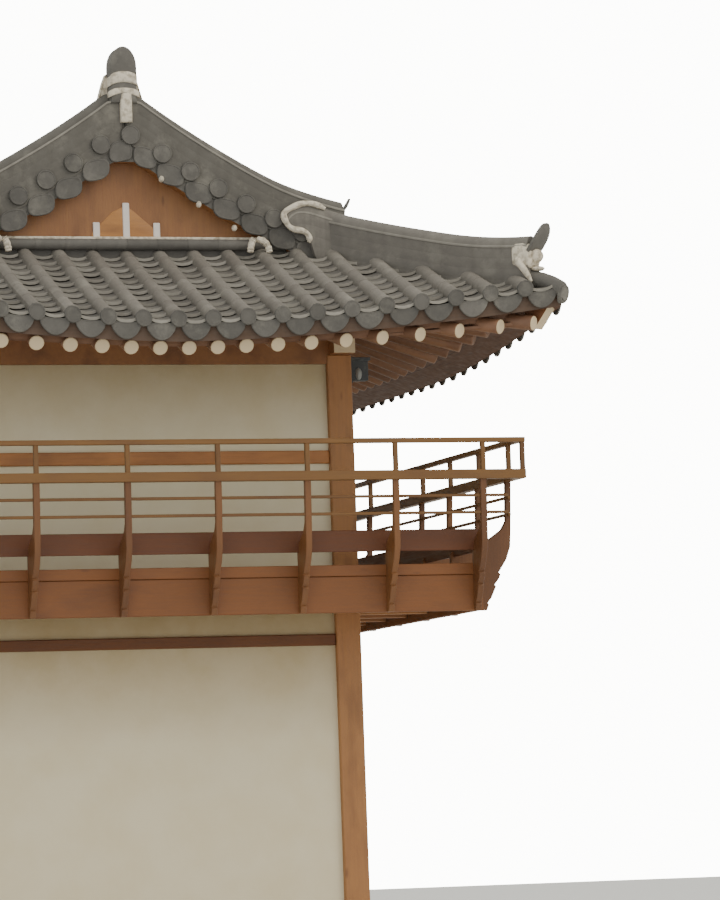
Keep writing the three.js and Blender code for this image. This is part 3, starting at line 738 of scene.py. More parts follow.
@dataclass(frozen=True)
class RoofForm:
    """The hip-and-gable roof: u is the distance in from the nearer eave, s the distance from the corner."""

    eave_x: float = 3.49
    eave_y: float = 5.09
    eave_top: float = 5.44
    thick: float = 0.15
    thick_growth: float = 0.07
    slope: float = 0.452
    curve_rise: float = 0.28
    corner_lift: float = 0.31
    lift_power: float = 1.6
    gable_y: float = 3.36
    boards_out: float = 0.041
    verge_y: float = 3.544
    verge_width: float = 0.29
    verge_past: float = 0.08
    verge_rise: float = 0.48
    foot_rise: float = 0.095
    foot_run: float = 0.65
    crest_rise: float = 0.035
    crest_run: float = 1.2
    ridge_top: float = 7.71
    ridge_sag: float = 0.08
    hip_rise: float = 0.39
    hip_root_rise: float = 0.02
    hip_tip_rise: float = 0.11
    hip_tip_run: float = 0.75
    foot_power: float = 1.5

    @property
    def skirt_run(self) -> float:
        """How far the skirt runs in from the eave to the gable boards."""
        return self.eave_y - self.gable_y

    @property
    def verge_start(self) -> float:
        """Where the edge of the gable meets the hip line."""
        return self.eave_y - self.verge_y

    @property
    def verge_inner(self) -> float:
        """How far from the middle the inner face of a gable ridge is."""
        return self.verge_y - self.verge_width

    def bed(self, u: Number, s: Number) -> Number:
        """z = top + slope u + rise (u / eave_x)^4 + lift (1 - s / eave_x)^power (1 - u / eave_x).

        Args:
            u: distance in from the nearer eave.
            s: distance from the corner.

        Returns:
            Height of the bed over the ground.
        """
        along = np.maximum(0, 1 - s / self.eave_x) ** self.lift_power
        inward = np.maximum(0, 1 - u / self.eave_x)
        rise = self.curve_rise * (u / self.eave_x) ** 4
        return self.eave_top + self.slope * u + rise + self.corner_lift * along * inward

    def soffit(self, u: Number, s: Number) -> Number:
        """Underside of the boards: bed - thick - thick_growth u."""
        return self.bed(u, s) - self.thick - self.thick_growth * u

    def soffit_over(self, x: Number, y: Number) -> Number:
        """The soffit over points of the plan outside the walls."""
        side, end = self.eave_x - np.abs(x), self.eave_y - np.abs(y)
        return self.soffit(np.minimum(side, end), np.maximum(side, end))

    def gable_bed(self, x: Number) -> Number:
        """Height of the bed on the gable's line at a distance x from the middle."""
        return self.bed(self.eave_x - np.abs(x), self.skirt_run)

    def hip_line(self, u: Number, h: Number) -> Array:
        """Points over the hip line: (eave_x - u, u - eave_y, bed(u, u) + h)."""
        return xyz(self.eave_x - u, u - self.eave_y, self.bed(u, u) + h)

    def verge_height(self, u: Array) -> Array:
        """Height of a gable ridge over the bed: it turns up at its foot and rises a little to the crown.

        Args:
            u: distance in from the side eave.

        Returns:
            Height over the bed, below ridge_top.
        """
        foot = np.maximum(0, 1 - (u - self.verge_start + self.verge_past) / self.foot_run)
        crest = np.maximum(0, 1 - (self.eave_x - u) / self.crest_run)
        height = self.verge_rise + self.foot_rise * foot**self.foot_power + self.crest_rise * crest
        return np.minimum(height, self.ridge_top - self.bed(u, self.skirt_run))

    def hip_height(self, u: Array) -> Array:
        """Height of a hip ridge over the bed: it swells at its root and rises to its tip."""
        tip = np.maximum(0, 1 - u / self.hip_tip_run) ** 2
        return self.hip_rise + self.hip_root_rise * (u / self.verge_start) ** 2 + self.hip_tip_rise * tip


class Facing(Enum):
    """The eave that a slope runs down to."""

    FRONT = "front"
    RIGHT = "right"


@dataclass(frozen=True)
class Slope:
    """One slope in its own terms: v runs along the eave, u in from it, h is the height over the bed."""

    form: RoofForm
    facing: Facing
    hip_gap: float = 0.03
    skirt_end: float = 1.645
    ridge_gap: float = 0.13
    verge_gap: float = 0.06

    @property
    def along(self) -> float:
        """Half the length of the eave."""
        return self.form.eave_x if self.facing is Facing.FRONT else self.form.eave_y

    @property
    def out(self) -> Array:
        """Direction that the eave looks in."""
        return STREET if self.facing is Facing.FRONT else np.array([1.0, 0.0, 0.0])

    def place(self, v: Number, u: Number, h: Number) -> Array:
        """Points of the house: front (v, u - eave_y, bed + h), right (eave_x - u, v, bed + h).

        Args:
            v: place along the eave.
            u: distance in from it.
            h: height over the bed.

        Returns:
            The points.
        """
        z = self.form.bed(u, self.along - np.abs(v)) + h
        if self.facing is Facing.FRONT:
            return xyz(v, u - self.form.eave_y, z)
        return xyz(self.form.eave_x - u, v, z)

    def crossing(self, v: Array) -> Array:
        """How far in a point at v may lie before it crosses the hip line; the gables' span is free."""
        free = (self.facing is Facing.RIGHT) & (np.abs(v) < self.form.verge_y)
        return np.where(free, self.form.eave_x, np.maximum(self.along - np.abs(v) - self.hip_gap, 0.0))

    def reach(self, v: Array) -> Array:
        """How far up the slope a row at v runs: to the foot of the gable, the ridge or the hip.

        Args:
            v: places along the eave.

        Returns:
            Distance in from the eave for each of them.
        """
        form, away = self.form, np.abs(v)
        hip = self.along - away - self.hip_gap
        if self.facing is Facing.FRONT:
            return np.minimum(hip, self.skirt_end)
        by_ridge, by_verge = form.eave_x - self.ridge_gap, form.verge_start - self.verge_gap
        upper = np.where(away < form.verge_inner, by_ridge, by_verge)
        return np.where(away < form.verge_y, upper, hip)


@dataclass(frozen=True)
class TileRows:
    """Rows of half-round cover tiles over rows of dished pans, closed at the eave by discs and drip tiles."""

    pitch: float = 0.308
    last_gap: float = 0.02
    cover_radius: float = 0.07
    cover_taper: float = 0.003
    cover_height: float = 0.04
    cover_length: float = 0.3
    cover_angle: float = math.radians(28)
    cover_points: int = 9
    cover_jitter: float = 0.0008
    overhang: float = 0.03
    tip_rise: float = 0.025
    tip_length: float = 0.8
    pan_exposure: float = 0.147
    pan_overhang: float = 0.03
    pan_bed: float = 0.006
    pan_dish: float = 0.058
    pan_lift: float = 0.036
    pan_edge: float = 0.026
    pan_lap: float = 0.012
    pan_least: float = 0.02
    pan_tuck: float = 0.06
    pan_jitter: float = 0.003
    pan_points: int = 7
    disc_radius: float = 0.0735
    disc_out: float = 0.016
    disc_back: float = 0.04
    disc_points: int = 20
    drip_share: float = 0.93
    drip_top: float = 0.014
    drip_dish: float = 0.02
    drip_depth: float = 0.144
    side_drip_depth: float = 0.185
    drip_power: float = 0.58
    drip_in: float = 0.002
    drip_middle: float = -0.05
    drip_back: float = 0.014
    drip_points: int = 13
    corner_radius: float = 0.079
    corner_drop: float = 0.032
    corner_swell: float = 1.2
    corner_lean: float = 0.3
    corner_back: float = 0.03
    corner_u: tuple[float, ...] = (0.27, 0.1, 0.03, -0.025)
    corner_over: tuple[float, ...] = (0.078, 0.05, 0.024, -0.012)
    disc_face: Profile = ((0, 0.005), (0.8, 0.004), (0.85, 0.008), (0.97, 0.007), (1.0, 0.002))
    drip_face: Profile = ((0, 0.006), (0.82, 0.004), (0.88, 0.007), (0.97, 0.006), (1.0, 0.001))
    cover_tones: Span = (0.25, 0.5)
    disc_tone: float = 0.5
    drip_tone: float = 0.6

    def rows(self, slope: Slope) -> Array:
        """Row positions v_i = pitch i (1 + g i): the spacing widens so that the last row is at the corner.

        Args:
            slope: the slope that the rows lie on.

        Returns:
            Places along the eave.
        """
        count = int(slope.along / self.pitch)
        growth = ((slope.along - self.last_gap) / (self.pitch * count) - 1) / count
        i = np.arange(-count, count + 1)
        return self.pitch * i * (1 + growth * np.abs(i))

    def gaps(self, slope: Slope) -> tuple[Array, Array]:
        """Middles and half widths of the gaps between the rows."""
        rows = self.rows(slope)
        return (rows[1:] + rows[:-1]) / 2, np.diff(rows) / 2

    def axis_height(self, u: Number) -> Number:
        """Height of a row's axis: cover_height + tip_rise (1 - u / tip_length)^2 up to tip_length."""
        return self.cover_height + self.tip_rise * np.clip(1 - u / self.tip_length, 0.0, 1.0) ** 2

    def covers(self, slope: Slope) -> Patch:
        """Half-round rows: (v, h) = (v_i + r cos a, axis + r sin a), r from its full size down the tile.

        Args:
            slope: the slope that the rows lie on.

        Returns:
            All the rows, with a tone for each tile.
        """
        rows = self.rows(slope)[1:-1]
        tiles = math.ceil((slope.reach(rows).max() + self.overhang) / self.cover_length)
        joints = self.cover_length * np.arange(tiles + 1) - self.overhang
        u = np.repeat(joints, 2)[1:-1]
        radius = np.tile([self.cover_radius, self.cover_radius - self.cover_taper], tiles)
        angle = np.linspace(-self.cover_angle, math.pi + self.cover_angle, self.cover_points)
        u = np.minimum(u[None, :], np.maximum(slope.reach(rows), 0.0)[:, None])
        jitter = RNG.normal(0, self.cover_jitter, (len(rows), tiles)).repeat(2, axis=1)[:, :, None]
        v = rows[:, None, None] + jitter + radius[:, None] * np.cos(angle)
        h = self.axis_height(u)[:, :, None] + radius[:, None] * np.sin(angle)
        least, spread = self.cover_tones
        tones = least + spread * RNG.random((len(rows), tiles)).repeat(2, axis=1)[:, :, None]
        return sheet(slope.place(v, u[:, :, None], h), tones=tones)

    def pans(self, slope: Slope) -> Patch:
        """Dished pans: h(a, b) = dish a^2 + lift (1 - b), a across from -1 to 1, b from the edge up the tile.

        Args:
            slope: the slope that the pans lie on.

        Returns:
            All the pans, their front edges in the second slot.
        """
        centre, half = self.gaps(slope)
        tiles = math.ceil(slope.reach(centre).max() / self.pan_exposure) + 1
        a = np.linspace(-1, 1, self.pan_points)
        low = (self.pan_exposure * np.arange(tiles) - self.pan_overhang)[None, :, None]
        dish = self.pan_bed + self.pan_dish * a**2
        front = dish + self.pan_lift + RNG.normal(0, self.pan_jitter, (len(centre), tiles, 1))
        v = (centre[:, None] + half[:, None] * a)[:, None, :]
        limit = np.maximum(slope.reach(centre), self.pan_least)[:, None, None] + self.pan_tuck
        limit = np.minimum(limit, slope.crossing(v))
        u_low = np.minimum(low, limit) + 0 * v
        u_high = np.minimum(low + self.pan_exposure + self.pan_lap, limit) + 0 * v
        rings = [(u_low, front - self.pan_edge), (u_low, front), (u_high, dish + 0 * front)]
        points = np.stack([slope.place(v, u, h) for u, h in rings], axis=2)
        grids = points.reshape(-1, 3, len(a), 3)
        tones = RNG.random(len(grids))[:, None, None]
        # the front edges take the second, lighter finish: a painted highlight
        made = sheet(grids, slots=np.array([1, 0])[None, :, None], tones=tones)
        made.faces = made.faces[:, ::-1]
        return made

    def discs(self, slope: Slope) -> Patch:
        """Discs with a rim and a raised boss that close the cover rows.

        Args:
            slope: the slope whose rows they close.

        Returns:
            The discs as closed plates.
        """
        rows = self.rows(slope)[1:-1]
        cos, sin = circle(self.disc_points)
        face = -self.overhang - self.disc_out
        height = self.axis_height(face)
        outline = slope.place(rows[:, None] + self.disc_radius * cos, face, height + self.disc_radius * sin)
        tones = RNG.random(len(rows))[:, None, None] * self.disc_tone
        middle = slope.place(rows, face, height)
        return relief(outline, middle, slope.out, self.disc_face, self.disc_back, tones)

    def drips(self, slope: Slope) -> Patch:
        """Shields under the pans: the top is dished a little, the foot falls as depth (1 - a^2)^power.

        Args:
            slope: the slope whose eave they close.

        Returns:
            The shields as closed plates.
        """
        centre, half = self.gaps(slope)
        a = np.linspace(1, -1, self.drip_points)
        top = self.drip_top + self.drip_dish * a**2
        depth = self.drip_depth if slope.facing is Facing.FRONT else self.side_drip_depth
        foot = top - depth * (1 - a[::-1] ** 2) ** self.drip_power
        across = np.concatenate([a, a[::-1][1:-1]])
        h = np.concatenate([top, foot[1:-1]])
        face = self.drip_in - self.overhang
        outline = slope.place(centre[:, None] + half[:, None] * self.drip_share * across, face, h)
        tones = RNG.random(len(centre))[:, None, None] * self.drip_tone
        middle = slope.place(centre, face, self.drip_middle)
        return relief(outline, middle, slope.out, self.drip_face, self.drip_back, tones)

    def corner(self, form: RoofForm) -> Patch:
        """The cover tile that dips along the hip line past the hip ridge, with its hanging disc.

        Args:
            form: the roof.

        Returns:
            The tile and its disc at the front right corner.
        """
        axis = form.hip_line(np.array(self.corner_u), np.array(self.corner_over))
        cos, sin = circle(self.disc_points)
        ring = self.cover_radius * (CORNER_SIDE * cos[:, None] + UP * sin[:, None])
        tile = shell(axis[:, None] + ring * self.corner_swell)
        hang = axis[-1] - self.corner_drop * UP
        lean = CORNER_OUT * self.corner_lean * ring[:, 2:]
        outline = hang + ring * self.corner_radius / self.cover_radius + lean
        return joined([tile, relief(outline[None], hang[None], CORNER_OUT, self.disc_face, self.corner_back)])


@dataclass(frozen=True)
class RidgeStack:
    """A ridge of flat tiles laid in courses, with a rounded cover on top over a line of mortar."""

    half_width: float
    cover_half: float = 0.1
    cover_height: float = 0.085
    cover_points: int = 6
    ledge: float = 0.022
    ledge_out: float = 0.009
    course: float = 0.094
    course_edge: float = 0.0915
    course_set: float = 0.0012
    chamfer: float = 0.004
    depth: float = 0.62
    tones: Span = (0.1, 0.35)

    def section(self) -> tuple[Array, Array, Array]:
        """Half of the section from the top down: distance out, drop from the top and material slot.

        Returns:
            Three arrays; the slots belong to the spans between the points.
        """
        angle = np.linspace(math.pi / 2, 0, self.cover_points)
        wide, joint = self.half_width + self.ledge_out, self.half_width - self.course_set
        cut, base = self.chamfer, self.cover_height + self.ledge
        out = [*(self.cover_half * np.cos(angle)), wide - cut, wide, wide, wide - cut]
        drop = [*(self.cover_height * (1 - np.sin(angle))), self.cover_height, self.cover_height + cut]
        drop += [base - cut, base]
        courses = base + self.course * np.arange(math.ceil((self.depth - base) / self.course))
        for level in courses:
            out += [self.half_width, self.half_width, joint, joint]
            drop += [level, level + self.course_edge, level + self.course_edge + cut, level + self.course]
        # slot 1 is the ledge under the cover; the house gives it the lighter lip finish, a painted highlight
        slots = [0] * (self.cover_points - 1) + [1] * 4 + [0] * 4 * len(courses)
        return np.array(out), np.array(drop), np.array(slots)

    def along(self, path: Array, top: Array, base: Array) -> Patch:
        """P = path_i + side_i a_j with z = max(top_i - drop_j, base_i), over both halves of the section.

        Args:
            path: array (stations, 2) of the middle line in plan.
            top: height of the cover at each station.
            base: height of the foot at each station.

        Returns:
            The closed ridge.
        """
        out, drop, slots = self.section()
        heading = unit(np.gradient(path, axis=0))
        side = np.stack([-heading[:, 1], heading[:, 0]], axis=-1)
        a = np.concatenate([out, -out[::-1][:-1]])
        fall = np.concatenate([drop, drop[::-1][:-1]])
        plan = path[:, None] + side[:, None] * a[None, :, None]
        z = np.maximum(top[:, None] - fall, base[:, None])
        spans = np.concatenate([slots, [0], slots[::-1]])[: len(a)]
        least, spread = self.tones
        tones = RNG.random(len(path))[None, :, None] * spread + least
        tones = np.concatenate([tones[:, :1], tones, tones[:, -1:]], axis=1)
        rings = np.concatenate([plan, z[..., None]], axis=-1)
        return shell(rings, slots=spans[None, None, :], tones=tones)


@dataclass(frozen=True)
class MortarRoll:
    """A roll of mortar pressed along a joint on a face that looks towards the street."""

    points: Profile
    y: float
    radius: float = 0.03
    steps: int = 40
    sides: int = 10
    kernel: tuple[int, ...] = (1, 2, 3, 2, 1)
    waves: float = 9.0
    swell: float = 0.1
    end_steepness: float = 12.0
    end_least: float = 0.35

    def patch(self) -> Patch:
        """A tube C + r (N cos a + Y sin a) round a smoothed line; r swells and shrinks as sin(waves pi t).

        Returns:
            The closed tube, its ends rounded off.
        """
        line = np.array(self.points)
        t = np.linspace(0, 1, len(line))
        fine = np.linspace(0, 1, self.steps)
        smooth = np.stack([np.interp(fine, t, line[:, k]) for k in range(2)], axis=-1)
        kernel = np.array(self.kernel) / sum(self.kernel)
        padded = np.pad(smooth, ((2, 2), (0, 0)), mode="edge")
        smooth = np.stack([np.convolve(padded[:, k], kernel, mode="valid") for k in range(2)], axis=-1)
        heading = unit(np.gradient(smooth, axis=0))
        normal = xyz(-heading[:, 1], 0.0, heading[:, 0])
        ends = np.clip(np.minimum(fine, 1 - fine) * self.end_steepness, self.end_least, 1) ** 0.5
        lumpy = 1 - self.swell + self.swell * np.sin(self.waves * fine * math.pi)
        radius = self.radius * ends * lumpy
        cos, sin = circle(self.sides)
        centre = xyz(smooth[:, 0], self.y, smooth[:, 1])
        ring = normal[:, None] * cos[:, None] - STREET * sin[:, None]
        return shell(centre[:, None] + radius[:, None, None] * ring)


@dataclass(frozen=True)
class GableEnd:
    """The front gable: its ridges, the tiles along its edges, the crown, the boards and the foot course."""

    form: RoofForm
    stack: RidgeStack
    ridge_sink: float = 0.03
    tile_pitch: float = 0.2543
    tile_radius: float = 0.087
    tile_length: float = 0.14
    tile_back: float = 0.014
    apex_tile: float = 0.047
    apex_lift: float = 0.05
    tile_lift: float = 0.088
    tiles_from: tuple[float, float] = (0.335, -0.227)
    apex_shields: tuple[float, float] = (-0.045, 0.178)
    shields_from: tuple[float, float] = (0.408, -0.275)
    apex_reach: tuple[float, float] = (0.1, 0.2)
    shield_half: float = 0.125
    shield_height: float = 0.096
    shield_drop: float = 0.055
    shield_in: float = 0.016
    shield_lean: float = 0.3
    apex_sag: float = 0.03
    apex_share: float = 0.86
    left_sag: float = 0.05
    left_run: float = 0.25
    blunt_power: float = 0.75
    band_drop: float = 0.13
    apex_drop: float = 0.222
    face_out: float = 0.02
    end_half: float = 0.121
    end_points: int = 22
    mortar_out: float = 0.012
    foot_half: float = 1.68
    batten_half: float = 0.031
    batten_thick: float = 0.014
    batten_in: float = 0.0007
    tile_face: Profile = ((0, 0.007), (0.84, 0.004), (0.9, 0.008), (0.97, 0.006), (1.0, 0.0))
    crown_face: Profile = ((0, 0.022), (0.5, 0.018), (0.85, 0.009), (0.96, 0.003), (1.0, -0.005))
    crown_back: float = 0.15
    mortar_face: Profile = ((0, 0.012), (0.6, 0.01), (0.85, 0.005), (0.95, 0.0), (1.0, -0.008))
    mortar_back: float = 0.06
    slab_back: float = 0.16
    band_over: float = 0.004
    tile_tone: float = 0.5
    dots: Profile = ((0.322, 6.922), (0.66, 6.697), (0.983, 6.487))
    dot_size: tuple[float, ...] = (0.026, 0.03, 0.03)
    crown: tuple[tuple[float, ...], ...] = ((1.0, 7.83, 7.925, 8.11), (0.98, 7.60, 7.74, 7.80))
    slab: tuple[float, ...] = (0.122, 7.756, 7.835, 7.888)
    bar: tuple[float, ...] = (0.14, 7.648, 7.685, 7.742)
    tail: tuple[float, ...] = (0.053, 7.425, 7.70, 7.72)
    slab_hollow: float = 0.027
    bar_hollow: float = 0.03
    tail_proud: float = 0.002
    tail_aside: float = 0.014
    collar: Profile = (
        (-0.2, 7.66), (-0.16, 7.80), (-0.13, 7.875), (0.13, 7.875), (0.16, 7.80), (0.2, 7.66),
        (0.1, 7.60), (-0.1, 7.60),
    )
    collar_middle: float = 7.74
    collar_rings: Profile = ((-3.43, 0.94), (-3.44, 1.0), (-3.35, 1.0), (-3.33, 0.94))
    line_face: float = -3.466
    line_z: Span = (6.386, 6.416)
    line_bevel: float = 0.008
    bedding_face: float = -3.452
    bedding_z: Span = (6.15, 6.388)
    bedding_bevel: float = 0.004
    course_tiles: int = 12
    course_lap: float = 0.01
    course_axis: Span = (-3.474, 6.342)
    course_radius: Span = (0.052, 0.049)
    course_tone: float = 0.7
    batten_x: tuple[float, ...] = (-0.252, 0.023, 0.302)
    batten_foot: float = 6.41
    batten_tops: tuple[float, ...] = (6.55, 6.726, 6.548)
    batten_bevel: float = 0.006
    low_outline: Profile = (
        (-0.3, 6.41), (0.33, 6.41), (0.32, 6.46), (0.09, 6.655), (0.02, 6.70), (-0.1, 6.645),
        (-0.29, 6.46),
    )
    low_middle: float = 6.52
    low_face: Profile = ((0, 0.007), (0.96, 0.007), (1.0, 0.003))
    upturn_from: float = 0.09
    upturn_length: float = 0.085
    upturn_foot: float = 6.66
    upturn_rise: float = 0.115
    upturn_half: float = 0.075
    upturn_narrowing: float = 0.65
    upturn_thick: float = 0.012
    roll_out: float = 0.055
    roll_radius: float = 0.031
    roll: Profile = (
        (1.83, 6.655), (1.76, 6.69), (1.681, 6.71), (1.596, 6.705), (1.52, 6.672), (1.453, 6.641),
        (1.424, 6.605), (1.441, 6.555), (1.476, 6.492), (1.53, 6.468), (1.60, 6.465), (1.655, 6.43),
        (1.67, 6.38), (1.655, 6.35),
    )
    leg_out: float = 0.01
    leg_radius: float = 0.034
    leg_steps: tuple[int, int] = (12, 14)
    legs: tuple[Profile, Profile] = (
        ((1.15, 6.385), (1.125, 6.36), (1.11, 6.3), (1.105, 6.25)),
        ((1.16, 6.38), (1.24, 6.365), (1.275, 6.31), (1.285, 6.25)),
    )
    stations: int = 40
    band_stations: int = 41
    row_tiles: int = 7
    tile_points: int = 18
    shield_points: int = 24
    dot_grid: tuple[int, int] = (8, 10)
    foot_points: int = 9
    course_points: int = 14
    upturn_steps: int = 8
    upturn_power: float = 1.6

    @property
    def face(self) -> float:
        """Where the discs and the crown tile stand."""
        return -self.form.verge_y - self.face_out

    @property
    def boards(self) -> float:
        """The face of the gable boards."""
        return -self.form.gable_y - self.form.boards_out

    def ridges(self) -> Patch:
        """Both gable ridges: x = eave_x - u, top = bed(u) + verge_height(u).

        Returns:
            The ridge over the right half and its mirror image.
        """
        form = self.form
        u = np.linspace(form.verge_start - form.verge_past, form.eave_x, self.stations)
        middle = form.verge_width / 2 - form.verge_y
        path = np.stack([form.eave_x - u, np.full_like(u, middle)], axis=-1)
        bed = form.bed(u, form.skirt_run)
        return self.stack.along(path, bed + form.verge_height(u), bed - self.ridge_sink).doubled()

    def overhang(self) -> Patch:
        """The band of roof that hangs out over the boards: from bed - drop up to bed, level at its top.

        Returns:
            The closed band, its face in the second slot.
        """
        form = self.form
        end = form.eave_x - form.verge_start
        x = np.linspace(-end, end, self.band_stations)
        bed = form.gable_bed(x)
        near, far = self.mortar_out - form.verge_y, self.boards
        low, high = np.minimum(bed - self.band_drop, bed.max() - self.apex_drop), bed + self.band_over
        rings = [xyz(x, y, z) for y, z in ((near, low), (far, low), (far, high), (near, high))]
        return shell(np.stack(rings, axis=1), slots=np.array([0, 0, 0, 1])[None, None, :])

    def spots(self, middle: list[float], sides: tuple[float, float]) -> Array:
        """Places along the gable: by the apex, then to the right, and one more to the left."""
        steps = self.tile_pitch * np.arange(self.row_tiles)
        return np.concatenate([middle, sides[0] + steps[:-1], sides[1] - steps])

    def edge_tiles(self) -> Patch:
        """Short cover tiles that look out of the edge, and between them drip tiles that hang over the band.

        Returns:
            Barrels with discs, and drip tiles shaped (half cos^p a, height sin^p a), leaning with the slope.
        """
        form, face = self.form, self.face
        x = self.spots([self.apex_tile], self.tiles_from)
        cos, sin = circle(self.tile_points)
        lift = np.where(np.abs(x) < self.apex_reach[0], self.apex_lift, self.tile_lift)
        centre = xyz(x, face, form.gable_bed(x) + lift)
        ring = xyz(cos, 0.0, sin) * self.tile_radius
        inward = -STREET * np.array([0.0, self.tile_length])[:, None, None]
        barrel = shell(centre[:, None, None] + ring + inward)
        tones = RNG.random((len(x), 1, 1)) * self.tile_tone
        discs = relief(centre[:, None] + ring, centre, STREET, self.tile_face, self.tile_back, tones)
        between = self.spots([*self.apex_shields], self.shields_from)
        by_apex = [np.abs(between) < reach for reach in self.apex_reach]
        cos, sin = circle(self.shield_points)
        across = blunt(cos, self.blunt_power) * self.shield_half
        across = across * np.where(by_apex[1], self.apex_share, 1.0)[:, None]
        edge_x = between[:, None] + across
        sag = np.clip(-between / self.left_run, 0.0, 1.0) * self.left_sag
        sag = sag + np.where(by_apex[0], self.apex_sag, 0.0)
        level = form.gable_bed(between) - self.shield_drop - sag
        lean = (form.gable_bed(edge_x) - form.gable_bed(between)[:, None]) * self.shield_lean
        height = level[:, None] + lean + self.shield_height * blunt(sin, self.blunt_power)
        edge = xyz(edge_x, face + self.shield_in, height)
        middle = xyz(between, face + self.shield_in, level)
        tones = RNG.random((len(between), 1, 1)) * self.tile_tone
        return joined([barrel, discs, relief(edge, middle, STREET, self.tile_face, self.tile_back, tones)])

    def mortar_dots(self) -> Patch:
        """Lumps of mortar left at the feet of some drip tiles: small rounded blobs."""
        x, z = np.array(self.dots).T
        centre = xyz(x, -self.form.verge_y, z)
        return shell(centre[:, None, None] + ball(*self.dot_grid) * self.dot_size, caps=False)

    def arch(
        self, half: float, low: float, shoulder: float, top: float, y: float,
        hollow: float = 0.0, x: float = 0.0,
    ) -> tuple[Array, Array]:
        """An arched outline and its middle.

        Args:
            half: half the width.
            low: height of the foot at its ends.
            shoulder: height where the upright sides end and half an ellipse begins.
            top: height of the crown.
            y: place of the face.
            hollow: how far the foot rises in the middle, as hollow (1 - (x / half)^2).
            x: place of the middle.

        Returns:
            The outline as one plate, and its middle.
        """
        angle = np.linspace(0, math.pi, self.end_points)
        foot = np.linspace(-1, 1, self.foot_points)
        across = np.concatenate([half * foot, half * np.cos(angle)])
        z = np.concatenate([low + hollow * (1 - foot**2), shoulder + (top - shoulder) * np.sin(angle)])
        return xyz(across + x, y, z)[None], np.array([[x, y, (low + hollow + top) / 2]])

    def crown_tile(self) -> Patch:
        """The end tile of the main ridge, a plain tall arch that swells a little, and the tile under it."""
        arches = [self.arch(self.end_half * share, *heights, self.face) for share, *heights in self.crown]
        return joined([relief(*arch, STREET, self.crown_face, self.crown_back) for arch in arches])

    def crown_mortar(self) -> Patch:
        """Mortar under the end tile, the T where the gable ridges meet, and the collar round the ridge.

        Returns:
            The slab, the bar and the tail of the T, and the collar, whose rings grow about its middle height.
        """
        face = self.face - self.mortar_out
        plates = (
            (self.arch(*self.slab, face, self.slab_hollow), self.slab_back),
            (self.arch(*self.bar, face, self.bar_hollow), self.mortar_back),
            (self.arch(*self.tail, face - self.tail_proud, x=self.tail_aside), self.mortar_back),
        )
        made = [relief(*arch, STREET, self.mortar_face, back) for arch, back in plates]
        (x, z), (y, grow) = np.array(self.collar).T, np.array(self.collar_rings).T[:, :, None]
        collar = shell(xyz(grow * x, y, self.collar_middle + grow * (z - self.collar_middle)))
        return joined([*made, collar])

    def foot_line(self) -> Patch:
        """The thin mortar line at the foot of the boards."""
        low, high = self.line_z
        ends = [-self.foot_half, self.line_face, low], [self.foot_half, self.boards, high]
        return blocks(*ends, self.line_bevel)

    def foot_course(self) -> Patch:
        """The round tiles under the mortar line, each a little narrower at its far end, on their bedding.

        Returns:
            The tiles, each with a tone of its own, and the bedding.
        """
        low, high = self.bedding_z
        ends = [-self.foot_half, self.bedding_face, low], [self.foot_half, self.boards, high]
        bedding = blocks(*ends, self.bedding_bevel)
        joints = np.linspace(-self.foot_half, self.foot_half, self.course_tiles + 1)
        cos, sin = circle(self.course_points)
        x = np.stack([joints[:-1], joints[1:] + self.course_lap], axis=-1)[:, :, None]
        radius, (y, z) = np.array(self.course_radius)[None, :, None], self.course_axis
        tones = RNG.random((self.course_tiles, 1, 1)) * self.course_tone
        return joined([shell(xyz(x, y + radius * cos, z + radius * sin), tones=tones), bedding])

    def slits(self) -> Patch:
        """White battens on the boards over the mortar line."""
        x, face = np.array(self.batten_x), self.boards + self.batten_in
        low = xyz(x - self.batten_half, face - self.batten_thick, self.batten_foot)
        return blocks(low, xyz(x + self.batten_half, face, np.array(self.batten_tops)), self.batten_bevel)

    def low_board(self) -> Patch:
        """The paler board with a pointed top behind the battens."""
        (x, z), face = np.array(self.low_outline).T, self.boards + self.batten_in
        middle = np.array([[0.0, face, self.low_middle]])
        return relief(xyz(x, face, z)[None], middle, STREET, self.low_face, 0.0)

    def foot_tiles(self) -> Patch:
        """The small upturned tile at the foot of each gable ridge: z = foot + rise t^1.6.

        Returns:
            Both tiles, each narrowing as t^2 towards its tip.
        """
        form, t = self.form, np.linspace(0, 1, self.upturn_steps)
        x = form.eave_x - form.verge_start + self.upturn_from + self.upturn_length * t
        y = form.verge_width / 2 - form.verge_y
        z = self.upturn_foot + self.upturn_rise * t**self.upturn_power
        half = self.upturn_half * (1 - self.upturn_narrowing * t**2)
        heading = unit(np.stack([np.gradient(x), np.gradient(z)], axis=-1))
        lift = np.stack([-heading[:, 1], heading[:, 0]], axis=-1) * self.upturn_thick
        corners = [(-1, 0), (1, 0), (1, 1), (-1, 1)]
        rings = [xyz(x + k * lift[:, 0], y + s * half, z + k * lift[:, 1]) for s, k in corners]
        return shell(np.stack(rings, axis=1)).doubled()

    def rolls(self) -> Patch:
        """The S of mortar where the hip ridge meets the gable ridge, and the two legs beside it.

        Returns:
            The three rolls and their mirror images.
        """
        face = -self.form.verge_y - self.roll_out
        made = [MortarRoll(self.roll, face, self.roll_radius).patch()]
        for leg, steps in zip(self.legs, self.leg_steps):
            made.append(MortarRoll(leg, face - self.leg_out, self.leg_radius, steps).patch())
        return joined(made).doubled()


